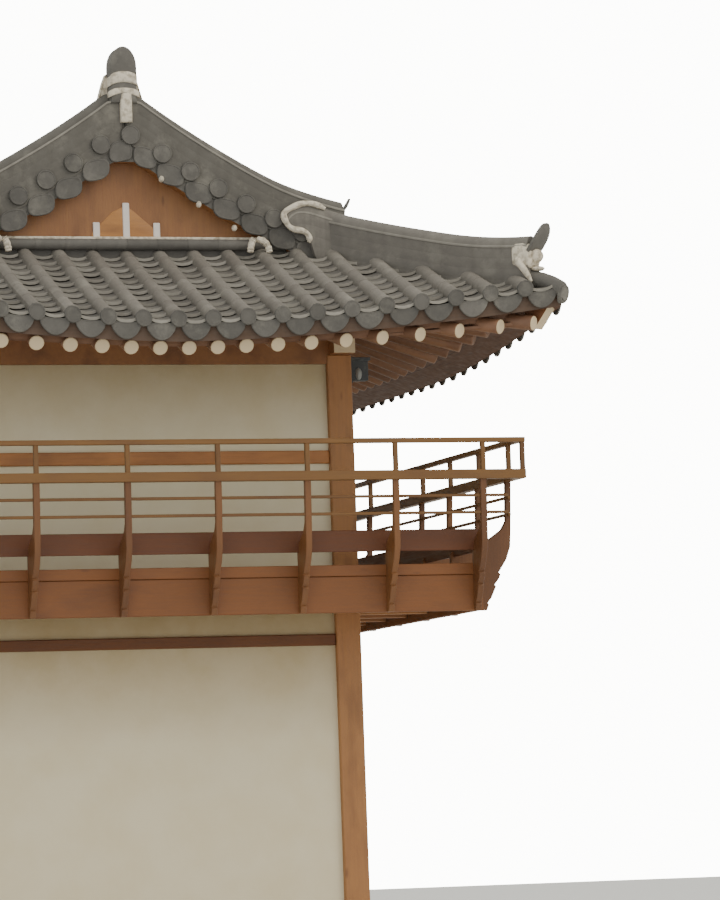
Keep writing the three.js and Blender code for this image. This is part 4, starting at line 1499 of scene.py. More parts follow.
@dataclass(frozen=True)
class HipRidge:
    """The ridge down the hip line from the foot of the gable ridge to the corner of the eaves."""

    form: RoofForm
    stack: RidgeStack
    start: float = 1.66
    end: float = 0.185
    sink: float = 0.05
    root_y: float = -3.555
    leaf_half: float = 0.125
    leaf_foot: tuple[float, float] = (0.18, 0.285)
    leaf_tip: tuple[float, float] = (0.05, 0.585)
    leaf_bulge: float = 0.03
    leaf_back: float = 0.028
    leaf_face: Profile = ((0, 0.012), (0.8, 0.008), (0.95, 0.005), (1.0, 0.0))
    foot_radius: float = 0.042
    foot_aside: float = 0.118
    root_line: tuple[tuple[float, ...], ...] = (
        (1.45, 6.62, 6.56), (1.475, 6.665, 6.50), (1.5, 6.69, 6.48), (1.55, 6.715, 6.47),
        (1.6, 6.72, 6.465), (1.65, 6.715, 6.42), (1.68, 6.71, 6.34), (1.72, 6.70, 6.2),
        (1.8, 6.675, 6.15), (1.9, 6.645, 6.12), (2.0, 6.618, 6.1), (2.06, 6.60, 6.08),
    )
    root_half: float = 0.058
    root_cover: float = 0.05
    root_ledge: float = 0.004
    collar_line: tuple[tuple[float, ...], ...] = (
        (0.292, 0.1, 0.10, 0.18), (0.285, 0.122, 0.075, 0.15), (0.262, 0.13, 0.062, 0.14),
        (0.215, 0.13, 0.06, 0.14), (0.178, 0.122, 0.075, 0.16), (0.165, 0.1, 0.1, 0.19),
    )
    collar_lump: float = 0.03
    collar_blunt: Span = (0.5, 0.6)
    pads: tuple[tuple[float, float, tuple[float, ...]], ...] = (
        (0.165, 0.275, (0.075, 0.075, 0.066)), (0.15, 0.165, (0.062, 0.062, 0.024)),
    )
    foot_from: Span = (0.262, 0.225)
    foot_fall: Span = (0.105, 0.185)
    stations: int = 44
    root_stations: int = 36
    leaf_points: int = 16
    leaf_narrow: float = 0.92
    leaf_side: float = 0.2
    leaf_shoulder: float = 0.4
    collar_points: int = 20
    pad_grid: tuple[int, int] = (9, 14)
    foot_steps: int = 12
    foot_points: int = 14
    foot_lean: float = 1.6
    foot_taper: float = 0.5
    foot_steepness: float = 7.0
    foot_least: float = 0.3
    foot_power: float = 1.25

    def body(self) -> Patch:
        """The ridge itself, top = bed(u, u) + hip_height(u)."""
        u = np.linspace(self.start, self.end, self.stations)
        top = self.form.hip_line(u, self.form.hip_height(u))
        return self.stack.along(top[:, :2], top[:, 2], self.form.hip_line(u, -self.sink)[:, 2])

    def root(self) -> Patch:
        """The root of the ridge: it runs along the gable ridge's face and ends under the roll of mortar.

        Returns:
            The closed ridge, narrower than the ridge that it belongs to.
        """
        x, top, base = np.array(self.root_line).T
        fine = np.linspace(x[0], x[-1], self.root_stations)
        path = np.stack([fine, np.full_like(fine, self.root_y)], axis=-1)
        narrow = RidgeStack(
            self.root_half, cover_half=self.root_cover, ledge_out=self.root_ledge, depth=self.stack.depth
        )
        return narrow.along(path, np.interp(fine, x, top), np.interp(fine, x, base))

    def leaf(self) -> Patch:
        """The leaf-shaped end tile that leans out over the corner: an arch swept along its lean.

        Returns:
            The closed tile, its face bulging towards the corner.
        """
        foot, tip = (self.form.hip_line(u, h) for u, h in (self.leaf_foot, self.leaf_tip))
        axis = tip - foot
        angle = np.linspace(0, math.pi, self.leaf_points)
        narrow, side, shoulder = self.leaf_narrow, self.leaf_side, self.leaf_shoulder
        across = np.concatenate([[-narrow, -1.0], -np.cos(angle), [1.0, narrow]])
        rise = np.concatenate([[0, side], shoulder + (1 - shoulder) * np.sin(angle), [side, 0]])
        outline = foot + CORNER_SIDE * (across * self.leaf_half)[:, None] + axis * rise[:, None]
        bulge = CORNER_OUT * (self.leaf_bulge * (1 - across**2))[:, None]
        middle = (foot + axis * 0.5)[None]
        return relief((outline - bulge)[None], middle, CORNER_OUT, self.leaf_face, self.leaf_back)

    def mortar(self) -> Patch:
        """Mortar at the end of the ridge.

        Returns:
            A lumpy collar r = half (1 + lump sin 3t) round the ridge, a foot down each side of it, and the
            pads under the end tile.
        """
        line = self.form.hip_line
        u, half, sunk, base = np.array(self.collar_line).T
        top = self.form.hip_height(u) - sunk
        turn = np.linspace(0, 2 * math.pi, self.collar_points, endpoint=False)
        lumpy = half[:, None] * (1 + self.collar_lump * np.sin(3 * turn + 1))
        width = lumpy * blunt(np.cos(turn), self.collar_blunt[0])
        h = (top + base)[:, None] / 2 + (top - base)[:, None] / 2 * blunt(np.sin(turn), self.collar_blunt[1])
        collar = line(u, 0.0)[:, None] + CORNER_SIDE * width[..., None] + UP * h[..., None]
        pad = ball(*self.pad_grid)
        lumps = [shell((line(at, h) + pad * size)[None], caps=False) for at, h, size in self.pads]
        t = np.linspace(0, 1, self.foot_steps)
        fall = unit(np.array([1.0, -1.0, self.foot_lean]))
        ends = np.clip(np.minimum(t, 1 - t) * self.foot_steepness, self.foot_least, 1) ** 0.5
        radius = self.foot_radius * (1 - self.foot_taper * t) * ends
        (u0, h0), (du, dh) = self.foot_from, self.foot_fall
        run = line(u0 - du * t, h0 - dh * t**self.foot_power)
        cos, sin = circle(self.foot_points)
        spokes = radius[:, None, None] * (CORNER_SIDE * cos[:, None] + fall * sin[:, None])
        feet = [shell(run[:, None] + CORNER_SIDE * self.foot_aside * way + spokes) for way in (-1, 1)]
        return joined([shell(collar), *lumps, *feet])


@dataclass(frozen=True)
class Rafters:
    """Round rafters under the eaves, the boards that tie their tails and the squared hip rafters."""

    form: RoofForm
    radius: float = 0.067
    pitch: float = 0.237
    growth: float = 0.0076
    front_inset: float = 0.115
    side_inset: float = 0.42
    corner_inset: float = 0.08
    root_fan: float = 0.9
    board_behind: float = 0.05
    board_width: float = 0.09
    board_thick: float = 0.08
    board_gap: float = 0.006
    board_short: float = 0.115
    parallel: float = 2.5
    corner: float = 10.5
    inner_x: float = 1.7875
    inner_y: float = 3.3875
    clear: float = 0.001
    fan_clear: float = 0.01
    hang: float = 0.006
    sides: int = 14
    hip_half: float = 0.075
    hip_lean: float = 0.125
    hip_depth: float = 0.178
    hip_end_depth: float = 0.205
    hip_inset: float = 0.07
    hip_root: tuple[float, float] = (1.75, 3.35)
    hip_plane: float = 0.008
    hip_clear: float = 0.002
    hip_lift: float = 0.05
    hip_tone: float = 0.4
    infill_from: float = 0.12
    infill_corner: float = 0.5
    infill_sink: float = 0.03
    infill_thick: float = 0.024
    tail_shape: Profile = ((0, 0.88), (0.006, 0.975), (0.012, 1.0), (0.5, 1.0), (1.0, 1.0))
    tail_end: float = 0.1
    hip_stations: tuple[float, ...] = (0, 0.3, 0.55, 0.8, 0.93, 1.0)
    samples: int = 21
    board_stations: int = 49

    def tail(self, k: Number) -> Number:
        """Tails counted from the middle: pitch k + growth k^2."""
        return self.pitch * k + self.growth * k**2

    def lines(self, shift: float, standing: float) -> Array:
        """Rows of tail, root and inset along one eave.

        Args:
            shift: how far the corner part is moved outwards.
            standing: how far the tails stand back from the eave, which is less near the corner.

        Returns:
            Array (rafters, 3).
        """
        start, end = self.tail(self.parallel), self.tail(self.corner)
        straight = start + shift
        count = round(2 * straight / (self.pitch + self.growth * self.parallel / 2))
        middle = np.linspace(-straight, straight, count + 1)
        k = np.arange(self.parallel + 1, self.corner + 1)
        inset = standing - self.corner_inset * (k - self.parallel) / (self.corner - self.parallel)
        beside_hip = 2 * self.hip_half * math.sqrt(0.5) + self.radius * math.sqrt(2) + self.fan_clear
        fan = np.minimum(self.tail(k), self.form.eave_x - inset - beside_hip) + shift
        root = start + self.root_fan * (1 - (1 - (self.tail(k) - start) / (end - start)) ** 2) + shift
        rows = [(middle, middle, np.full_like(middle, standing)), (fan, root, inset), (-fan, -root, inset)]
        return np.concatenate([np.stack(row, axis=-1) for row in rows])

    def ends(self, facing: Facing) -> tuple[Array, Array]:
        """Plan points of the tails and of the roots of the rafters of one eave.

        Args:
            facing: the eave.

        Returns:
            Two arrays (rafters, 2).
        """
        form = self.form
        if facing is Facing.FRONT:
            tail, root, inset = self.lines(0.0, self.front_inset).T
            start = np.column_stack([tail, inset - form.eave_y])
            return start, np.column_stack([root, np.full_like(root, -self.inner_y)])
        tail, root, inset = self.lines(form.eave_y - form.eave_x, self.side_inset).T
        start = np.column_stack([form.eave_x - inset, tail])
        return start, np.column_stack([np.full_like(root, self.inner_x), root])

    def under(self, start: Array, end: Array, half: float) -> tuple[Array, Array]:
        """Heights of the highest straight lines between plan points that stay under the soffit.

        Args:
            start: array (lines, 2) of plan points.
            end: the same for the other ends.
            half: how far to either side the line also has to clear the soffit.

        Returns:
            The heights at the starts and at the ends.
        """
        t = np.linspace(0, 1, self.samples)[:, None]
        run = end - start
        aside = unit(np.stack([run[:, 1], -run[:, 0]], axis=-1)) * half
        z0, z1 = self.form.soffit_over(*start.T), self.form.soffit_over(*end.T)
        line = z0 + (z1 - z0) * t
        drop = np.zeros(len(start))
        for offset in (-1, 0, 1):
            spot = start[None] + run[None] * t[:, :, None] + offset * aside
            drop = np.maximum(drop, (line - self.form.soffit_over(spot[..., 0], spot[..., 1])).max(0))
        return z0 - drop - self.clear, z1 - drop - self.clear

    def rods(self, facing: Facing) -> Patch:
        """Round rafters of one eave, r (0.88, 0.975, 1) at the planed tail and r from there to the root.

        Args:
            facing: the eave.

        Returns:
            The rafters, their tails in the second slot.
        """
        start, end = self.ends(facing)
        z0, z1 = self.under(start, end, self.radius / 2)
        run = np.linalg.norm(end - start, axis=1)
        sink = self.radius * np.hypot(run, z1 - z0) / run + self.hang
        tail = np.column_stack([start, z0 - sink])
        root = np.column_stack([end, z1 - sink])
        length = np.linalg.norm(root - tail, axis=1)[:, None]
        heading = (root - tail) / length
        across = unit(np.cross(heading, UP))
        above = np.cross(across, heading)
        cos, sin = circle(self.sides)
        spoke = across[:, None] * cos[:, None] + above[:, None] * sin[:, None]
        places, share = np.array(self.tail_shape).T
        along = np.where(places < self.tail_end, places, places * length)
        radius = self.radius * share
        middle = tail[:, None, None] + heading[:, None, None] * along[:, :, None, None]
        rings = middle + spoke[:, None] * radius[None, :, None, None]
        slots = np.array([1, 1, 0, 0, 0, 0])[None, :, None]
        return shell(rings, slots=slots, tones=RNG.random((len(start), 1, 1)))

    def infill(self, facing: Facing) -> Patch:
        """Boards between the rafters: a ruled sheet through their axes, lowered, from behind the tails.

        Args:
            facing: the eave.

        Returns:
            The closed sheet, carried on to the hip rafters at both ends.
        """
        start, end = self.ends(facing)
        form, front = self.form, facing is Facing.FRONT
        order = np.argsort(start[:, 0 if front else 1])
        start, end = start[order], end[order]
        near = np.array([form.eave_x - self.infill_corner, self.infill_corner - form.eave_y])
        far = np.array([self.inner_x, -self.inner_y])
        flip = np.array([-1, 1]) if front else np.array([1, -1])
        corners = [(near * flip, far * flip), (near, far)]
        first, last = corners if front else corners[::-1]
        z0, z1 = self.under(start, end, self.radius / 2)
        start, end = (np.concatenate([[first[k]], way, [last[k]]]) for k, way in enumerate((start, end)))
        z0, z1 = (np.concatenate([z[:1], z, z[-1:]]) for z in (z0, z1))
        share = (self.infill_from / np.linalg.norm(end - start, axis=1))[:, None]
        share[[0, -1]] = 0.0
        low = np.column_stack([start + (end - start) * share, z0 + (z1 - z0) * share[:, 0]])
        high = np.column_stack([end, z1])
        sink, thick = (self.radius + self.infill_sink) * UP, self.infill_thick * UP
        return shell(np.stack([low - sink, high - sink, high - sink + thick, low - sink + thick], axis=1))

    def eave_board(self, facing: Facing) -> Patch:
        """The tie board: its section lies under the soffit, across the rafters behind their tails.

        Args:
            facing: the eave.

        Returns:
            The closed board.
        """
        slope, form = Slope(self.form, facing), self.form
        v = np.linspace(-1, 1, self.board_stations)[:, None]
        near = (self.front_inset if facing is Facing.FRONT else self.side_inset) + self.board_behind
        u = near + self.board_width * np.array([0, 1, 1, 0])
        h = -form.thick - form.thick_growth * u - self.board_gap - self.board_thick * np.array([1, 1, 0, 0])
        return shell(slope.place(v * (slope.along - u - self.board_short), u, h))

    def hip(self) -> Patch:
        """A hip rafter: a squared beam with planed edges that deepens to a slanted, painted end.

        Returns:
            The closed beam, its end in the second slot.
        """
        form, (root_x, root_y) = self.form, self.hip_root
        tail = np.array([[form.eave_x - self.hip_inset, form.eave_y - self.hip_inset]])
        root = np.array([self.hip_root])
        z_tail, z_root = (z[0] for z in self.under(tail, root, self.hip_half))
        run = float(np.linalg.norm(tail - root))
        share = np.array(self.hip_stations)
        r_top, r_low = share * run, share * (run - self.hip_lean)
        aside = np.minimum(form.eave_x - root_x - r_top * math.sqrt(0.5), form.eave_x)
        straight = z_root + (z_tail - z_root) * share
        top = np.minimum(form.soffit(aside, aside) - self.hip_clear, straight + self.hip_lift)
        depth = np.interp(share, share[[1, -1]], [self.hip_depth, self.hip_end_depth])
        low = np.interp(r_low, r_top, top) - depth
        w, cut = self.hip_half, self.hip_plane
        over, below = (r_top, top), (r_low, low)
        section = (
            (over, w - cut, 0), (over, cut - w, 0), (over, -w, -cut), (below, -w, cut),
            (below, cut - w, 0), (below, w - cut, 0), (below, w, cut), (over, w, -cut),
        )
        base = np.array([root_x, -root_y, 0.0])
        rings = [
            base + CORNER_OUT * reach[:, None] + CORNER_SIDE * side + UP * (z + shift)[:, None]
            for (reach, z), side, shift in section
        ]
        slots = np.array([0] * len(share) + [1])[None, :, None]
        return shell(np.stack(rings, axis=1), slots=slots, tones=self.hip_tone)


@dataclass(frozen=True)
class Railing:
    """One side of the balcony, built along X and facing -Y; out is measured from the fascia's face."""

    half: float
    face: float
    cornered: bool
    pitch: float = 0.8
    inset: float = 0.062
    thick: float = 0.054
    slat_past: float = 0.17
    bevel: float = 0.004
    gap: float = 0.0003
    plane: float = 0.005
    post_half: float = 0.02
    post_bevel: float = 0.003
    post_out: tuple[float, float] = (0.325, 0.285)
    post_z: tuple[float, float] = (4.195, 4.44)
    corner_post: float = 0.305
    bar_sizes: tuple[tuple[float, ...], ...] = (
        (-0.03, 0.012, 3.3003, 3.397), (0.022, 0.05, 3.51, 3.697), (0.264, 0.29, 3.812, 3.838),
        (0.264, 0.29, 3.961, 3.987), (0.24, 0.33, 4.117, 4.199), (0.27, 0.33, 4.437, 4.48),
    )
    bracket_out: Profile = (
        (0.045, 2.98), (0.066, 3.03), (0.055, 3.045), (0.092, 3.09), (0.139, 3.19), (0.126, 3.205),
        (0.170, 3.262), (0.184, 3.295), (0.168, 3.312), (0.245, 3.43), (0.284, 3.54), (0.29, 3.63),
        (0.294, 3.70), (0.303, 3.9), (0.312, 4.13),
    )
    bracket_in: Profile = (
        (0.0003, 2.98), (0.0003, 3.03), (0.0003, 3.06), (0.0003, 3.12), (0.0003, 3.22), (0.0003, 3.26),
        (0.0003, 3.33), (0.0003, 3.38), (0.0003, 3.42), (0.0003, 3.54), (0.06, 3.59), (0.14, 3.645),
        (0.205, 3.69), (0.25, 3.76), (0.262, 4.13),
    )

    def bars(self) -> Patch:
        """Slats and rails as planed bars; the toe board has the second finish, the skirt board the third.

        Returns:
            All the bars of one side.
        """
        start, end, low, high = np.array(self.bar_sizes).T
        reach = self.half + (end if self.cornered else start - self.gap)
        reach[2:4] = self.half + (self.slat_past if self.cornered else 0.0)
        lowest = np.column_stack([-reach, -self.face - end, low])
        highest = np.column_stack([reach, -self.face - start, high])
        # the skirt board's third finish is the darker skirt timber, a painted shade
        boards = [blocks(lowest[k], highest[k], self.bevel, slot=k + 1) for k in (0, 1)]
        return joined([blocks(lowest[2:], highest[2:], self.bevel), *boards])

    def stations(self) -> Array:
        """Positions of the bracket posts."""
        last = self.half - self.inset
        return np.linspace(-last, last, round(2 * last / self.pitch) + 1)

    def brackets(self) -> Patch:
        """Bracket posts: a planed rectangle carried between the outer and the inner curve of the outline.

        Returns:
            All the bracket posts of one side, each with a tone of its own.
        """
        outer, inner = np.array(self.bracket_out), np.array(self.bracket_in)
        cut = self.plane * unit(outer - inner)
        w, plane = self.thick / 2, self.plane
        sides = (
            (outer, w - plane), (outer - cut, w), (inner + cut, w), (inner, w - plane),
            (inner, plane - w), (inner + cut, -w), (outer - cut, -w), (outer, plane - w),
        )
        x = self.stations()
        ring = np.stack([xyz(a, -p[:, 0], p[:, 1]) for p, a in sides], axis=1)
        return shell(xyz(x, -self.face, 0.0)[:, None, None] + ring, tones=RNG.random((len(x), 1, 1)))

    def short_posts(self) -> Patch:
        """Short posts between the middle rail and the top rail.

        Returns:
            All of them, with one over each corner where the side has corners.
        """
        x = self.stations()
        if self.cornered:
            x = np.concatenate([[-self.half - self.corner_post], x, [self.half + self.corner_post]])
        low, high = (
            xyz(x + way * self.post_half, -self.face - out, z)
            for way, out, z in zip((-1, 1), self.post_out, self.post_z)
        )
        return blocks(low, high, self.post_bevel)


def laid(axis: Axis, along: tuple, across: tuple, z: Span) -> tuple[Array, Array]:
    """Lowest and highest corners of level timbers.

    Args:
        axis: direction of the grain, X or Y.
        along: where the timbers start and end along the grain.
        across: their near and far edges across it.
        z: their undersides and their tops.

    Returns:
        Both sets of corners, arrays (timbers, 3).
    """
    low, high = (pair if axis is Axis.X else pair[::-1] for pair in zip(along, across))
    return xyz(*low, z[0]), xyz(*high, z[1])


@dataclass(frozen=True)
class Deck:
    """Deck boards on the balcony with open joints, and the joists that show under it."""

    width: float = 0.135
    gap: float = 0.006
    board_z: Span = (3.2995, 3.3075)
    inner_x: float = 1.955
    inner_y: float = 3.555
    outer_x: float = 2.825
    outer_y: float = 4.425
    joist_half: float = 0.03
    joist_z: Span = (3.034, 3.0795)
    side_joists: tuple[float, int] = (4.3, 15)
    side_spans: tuple[Span, Span] = ((2.02, 2.82), (-2.82, -2.02))
    end_joists: tuple[float, int] = (1.7, 7)
    end_spans: tuple[Span, Span] = ((-4.42, -3.62), (3.62, 4.42))

    def boards(self, axis: Axis) -> tuple[Array, Array]:
        """Boards along X on the two ends of the house, or along Y on its sides.

        Args:
            axis: direction of the boards.

        Returns:
            Their lowest and highest corners.
        """
        ends = axis is Axis.X
        inner, outer = (self.inner_y, self.outer_y) if ends else (self.inner_x, self.outer_x)
        end = self.outer_x if ends else self.inner_y - self.gap
        rows = np.arange(inner, outer - self.width / 2, self.width + self.gap)
        rows = np.concatenate([rows, -rows - self.width])
        return laid(axis, (-end, end), (rows, rows + self.width), self.board_z)

    def joists(self, axis: Axis) -> tuple[Array, Array]:
        """Joists along X under the long sides, or along Y under the ends.

        Args:
            axis: direction of the joists.

        Returns:
            Their lowest and highest corners.
        """
        sides = axis is Axis.X
        last, count = self.side_joists if sides else self.end_joists
        spans = self.side_spans if sides else self.end_spans
        start, end = np.repeat(np.array(spans), count, axis=0).T
        places = np.tile(np.linspace(-last, last, count), 2)
        edges = (places - self.joist_half, places + self.joist_half)
        return laid(axis, (start, end), edges, self.joist_z)


@dataclass(frozen=True)
class Doorways:
    """Casings round the two doorways of the right-hand wall and the boards of their sills."""

    face: float = 1.9525
    proud: float = 0.028
    width: float = 0.09
    gap: float = 0.001
    sill: float = 0.02
    sill_back: float = 0.2
    sides: Span = (1.25, 2.25)
    storeys: tuple[Span, Span] = ((0.15, 2.0), (3.3, 5.15))

    def upright(self) -> tuple[tuple, tuple]:
        """The casings beside the doorways.

        Returns:
            Their lowest and their highest corners.
        """
        y0, y1 = self.sides
        out = self.face + self.proud
        made = []
        for low, high in self.storeys:
            for a, b in ((y0 - self.width, y0), (y1, y1 + self.width)):
                made.append(((self.face, a, low + self.gap), (out, b, high + self.width)))
        return tuple(zip(*made))

    def level(self) -> tuple[tuple, tuple]:
        """The casings over the doorways, and the sills.

        Returns:
            Their lowest and their highest corners.
        """
        (y0, y1), out, back = self.sides, self.face + self.proud, self.face - self.sill_back
        made = []
        for low, high in self.storeys:
            made.append(((self.face, y0, high), (out, y1, high + self.width)))
            made.append(((back, y0, low + self.gap), (out, y1, low + self.sill)))
        return tuple(zip(*made))


@dataclass(frozen=True)
class Lamp:
    """A lamp in the box of its CAD piece: lows are set in from its lowest corner, highs from its highest."""

    lows: tuple[tuple[float, ...], ...] = ((0.0, 0.012, 0.02), (0.0, 0.02, 0.0), (0.02, 0.003, 0.06))
    highs: tuple[tuple[float, ...], ...] = ((0.02, 0.012, 0.02), (0.0, 0.02, 0.0), (0.0, 0.003, 0.05))
    back_out: float = 0.05
    plate_out: float = 0.03
    hood: float = 0.03
    bevel: float = 0.004
    lens_at: tuple[float, ...] = (0.1, 0.03, 0.08)
    lens_size: tuple[float, ...] = (0.034, 0.05, 0.06)
    lens_grid: tuple[int, int] = (14, 20)

    def housing(self, low: Array, high: Array) -> Patch:
        """The body, the hood over it, the back board and the face plate.

        Args:
            low: lowest corner of the lamp's box.
            high: its highest corner.

        Returns:
            The four parts with planed edges.
        """
        lows, highs = low + np.array(self.lows), high - np.array(self.highs)
        highs[1:, 0] = low[0] + np.array([self.back_out, self.plate_out])
        hood = np.array([low[0], low[1], high[2] - self.hood])
        return blocks(np.insert(lows, 1, hood, axis=0), np.insert(highs, 1, high, axis=0), self.bevel)

    def lens(self, low: Array) -> Patch:
        """The opal lens, an oval ball half sunk in the face plate."""
        return shell((low + self.lens_at + ball(*self.lens_grid) * self.lens_size)[None], caps=False)


class House:
    """Builds the pieces of the house in order."""

    def __init__(self) -> None:
        """Makes the materials."""
        self.form = RoofForm()
        grey = {"lichen_share": 0.25, "blush_from": 0.93}
        self.tile = FiredTile("fired_clay_cover_tile", dark="#645f58", light="#7f7a72", **grey).build()
        # The pans are a darker grey than the covers, a painted shade; their front edges take the lighter lip
        # grey, a painted highlight. The lip grey also paints the ledge under each ridge's cover as lit.
        self.pan = FiredTile("fired_clay_pan_tile_painted_shade", dark="#54504b", light="#69655f").build()
        self.lip = FiredTile("fired_clay_pan_lip", dark="#7b776f", light="#97938a").build()
        self.disc = FiredTile("fired_clay_end_tile", dark="#4d4b47", light="#6a6762").build()
        self.ridge = FiredTile("fired_clay_ridge_tile", dark="#66625c", light="#7b7770").build()
        # The gable ridges' tiles are the ridge tile in a darker grey: painted shade on the faces that look
        # towards the street.
        self.verge = FiredTile("fired_clay_verge_tile", dark="#57544e", light="#6a6761").build()
        self.mortar = LimeMortar("lime_mortar_hand_pressed").build()
        self.timber = self.oiled("oiled_pine", tuple(Axis), deep="#7f5330", warm="#a67545")
        self.board = self.oiled("oiled_board", tuple(Axis), deep="#573214", warm="#7b4a20")
        self.rail = self.oiled("oiled_rail", tuple(Axis), deep="#5d3c18", warm="#755123", roughness=0.46)
        self.bracket = OiledTimber("oiled_bracket_pine", axis=Axis.Z, deep="#5a371c", warm="#764c26").build()
        # The eave timber is darker and greyer than the posts: painted shade on the rafters, tie boards and
        # infill under the eaves.
        self.eave = self.oiled("oiled_eave_painted_shade", LEVEL, deep="#684a36", warm="#8d684e")
        # The skirt boards' timber is darker than the other boards: painted shade.
        self.skirt = self.oiled("oiled_skirt_painted_shade", LEVEL, deep="#4b2911", warm="#693a1a")
        # The mid beams' timber is brighter and more orange than the posts: painted light on beams that lie in
        # the shade of the eaves.
        self.beam = self.oiled("oiled_beam", LEVEL, deep="#9e683a", warm="#cf9051")
        self.boards = OiledTimber("oiled_gable_boards", axis=Axis.Z, deep="#835733", warm="#a3784a").build()
        self.pale_board = OiledTimber("oiled_low_board", axis=Axis.X, deep="#94622f", warm="#b58048").build()
        self.paint = PaintedEnd("cream_paint_on_end_grain").build()
        self.white = PaintedEnd("white_paint_on_battens", coat="#d9d3cc", worn="#a68d76").build()
        self.plaster = LimePlaster("lime_plaster_floated").build()

    def oiled(self, stem: str, axes: tuple[Axis, ...], **look: str | float) -> dict[Axis, Material]:
        """One oiled timber for each direction of its grain."""
        return {a: OiledTimber(f"{stem}_grain_{a.name.lower()}", axis=a, **look).build() for a in axes}

    def clad(self) -> None:
        """Gives the CAD pieces that stay in view their materials."""
        bed = {a: RoofBed(f"roof_boards_grain_{a.name.lower()}", axis=a).build() for a in LEVEL}
        concrete = CastConcrete("cast_concrete_footing").build()
        kinds = {
            "lower_wall": self.plaster, "upper_wall": self.plaster, "ground_slab": concrete,
            "roof_slope": bed[Axis.Y], "roof_skirt": bed[Axis.X], "gable_boards": self.boards,
            "wall_plates": self.timber[Axis.Y], "upper_floor": self.timber[Axis.Y],
        }
        for name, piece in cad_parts.items():
            for stem, material in kinds.items():
                if name.startswith(stem):
                    piece.material_slots[0].material = material

    def pair(
        self, stem: str, ends: tuple[str, str], patch: Patch, finishes: list[Material], slot: str,
        nodes: str = "",
    ) -> None:
        """Puts a piece at one side of the house, and its copy at the other side, half a turn round.

        Args:
            stem: name of the piece without its side.
            ends: names of the two sides.
            patch: the piece at the first side.
            finishes: materials in the order of the patch's slots.
            slot: name of a material slot; not used.
            nodes: name, without its side, of the CAD node that each copy replaces, or nothing.
        """
        for end, made in ((ends[0], patch), (ends[1], patch.turned())):
            stands_for = (f"{nodes}_{end}",) if nodes else ()
            put(f"{stem}_{end}", made, finishes, stands_for)

    def tiles(self) -> None:
        """Cover tiles, pans, discs and drip tiles of the four slopes."""
        rows = TileRows()
        for facing, ends in ((Facing.FRONT, FRONT_BACK), (Facing.RIGHT, RIGHT_LEFT)):
            slope = Slope(self.form, facing)
            self.pair("cover_tiles", ends, rows.covers(slope), [self.tile], "clay_tile")
            self.pair("pan_tiles", ends, rows.pans(slope), [self.pan, self.lip], "clay_tile")
            closing = joined([rows.discs(slope), rows.drips(slope)])
            self.pair("eave_tiles", ends, closing, [self.disc], "clay_tile")
        corner = rows.corner(self.form)
        for ends, patch in ((RIGHT_CORNERS, corner), (LEFT_CORNERS, corner.mirrored())):
            self.pair("corner_tiles", ends, patch, [self.disc], "clay_tile")

    def main_ridge(self) -> None:
        """The main ridge, which sags in the middle: top = ridge_top - sag (1 - (y / inner)^2)."""
        form = self.form
        past, sink, stations = 0.04, 0.12, 60
        y = np.linspace(-form.verge_inner - past, form.verge_inner + past, stations)
        top = form.ridge_top - form.ridge_sag * (1 - np.minimum(1, (y / form.verge_inner) ** 2))
        path = np.stack([0 * y, y], axis=-1)
        low = form.bed(form.eave_x, form.eave_x) - sink
        ridge = RidgeStack(half_width=0.15).along(path, top, 0 * y + low)
        put("main_ridge_courses", ridge, [self.ridge, self.lip], ("main_ridge",))

    def gables(self) -> None:
        """The gables with their ridges, tiles, mortar, battens and low boards."""
        gable = GableEnd(self.form, RidgeStack(self.form.verge_width / 2))
        clay, wood, ridges = "clay_tile", "gable_timber", "gable_ridges"
        lumps = joined([gable.crown_mortar(), gable.mortar_dots(), gable.rolls()])
        for stem, patch, finishes, slot, nodes in (
            ("gable_ridge_courses", gable.ridges(), [self.verge, self.lip], clay, ridges),
            ("gable_overhang", gable.overhang(), [self.timber[Axis.X], self.disc], "frame_timber", ridges),
            ("gable_edge_tiles", gable.edge_tiles(), [self.disc], clay, ridges),
            ("crown_end_tile", gable.crown_tile(), [self.disc], clay, ridges),
            ("gable_foot_mortar", gable.foot_line(), [self.mortar], clay, ridges),
            ("gable_foot_tiles", gable.foot_course(), [self.disc], clay, ridges),
            ("gable_mortar", lumps, [self.mortar], clay, ""),
            ("gable_ridge_feet", gable.foot_tiles(), [self.disc], clay, ""),
            ("gable_battens", gable.slits(), [self.white], wood, ""),
            ("gable_low_board", gable.low_board(), [self.pale_board], wood, ""),
        ):
            self.pair(stem, FRONT_BACK, patch, finishes, slot, nodes)

    def hips(self) -> None:
        """The hip ridges with their end tiles and mortar."""
        hip = HipRidge(self.form, RidgeStack(half_width=0.11))
        pieces = (
            ("hip_ridge_courses", joined([hip.body(), hip.root()]), [self.ridge, self.lip], "hip_ridge"),
            ("hip_end_tile", hip.leaf(), [self.disc], ""),
            ("hip_mortar", hip.mortar(), [self.mortar], ""),
        )
        for corners in (RIGHT_CORNERS, LEFT_CORNERS):
            for stem, patch, finishes, nodes in pieces:
                made = patch if corners is RIGHT_CORNERS else patch.mirrored()
                self.pair(stem, corners, made, finishes, "clay_tile", nodes)

    def rafters(self) -> None:
        """Rafters with painted ends, tie boards, hip rafters and the boards between the rafters."""
        rafters = Rafters(self.form)
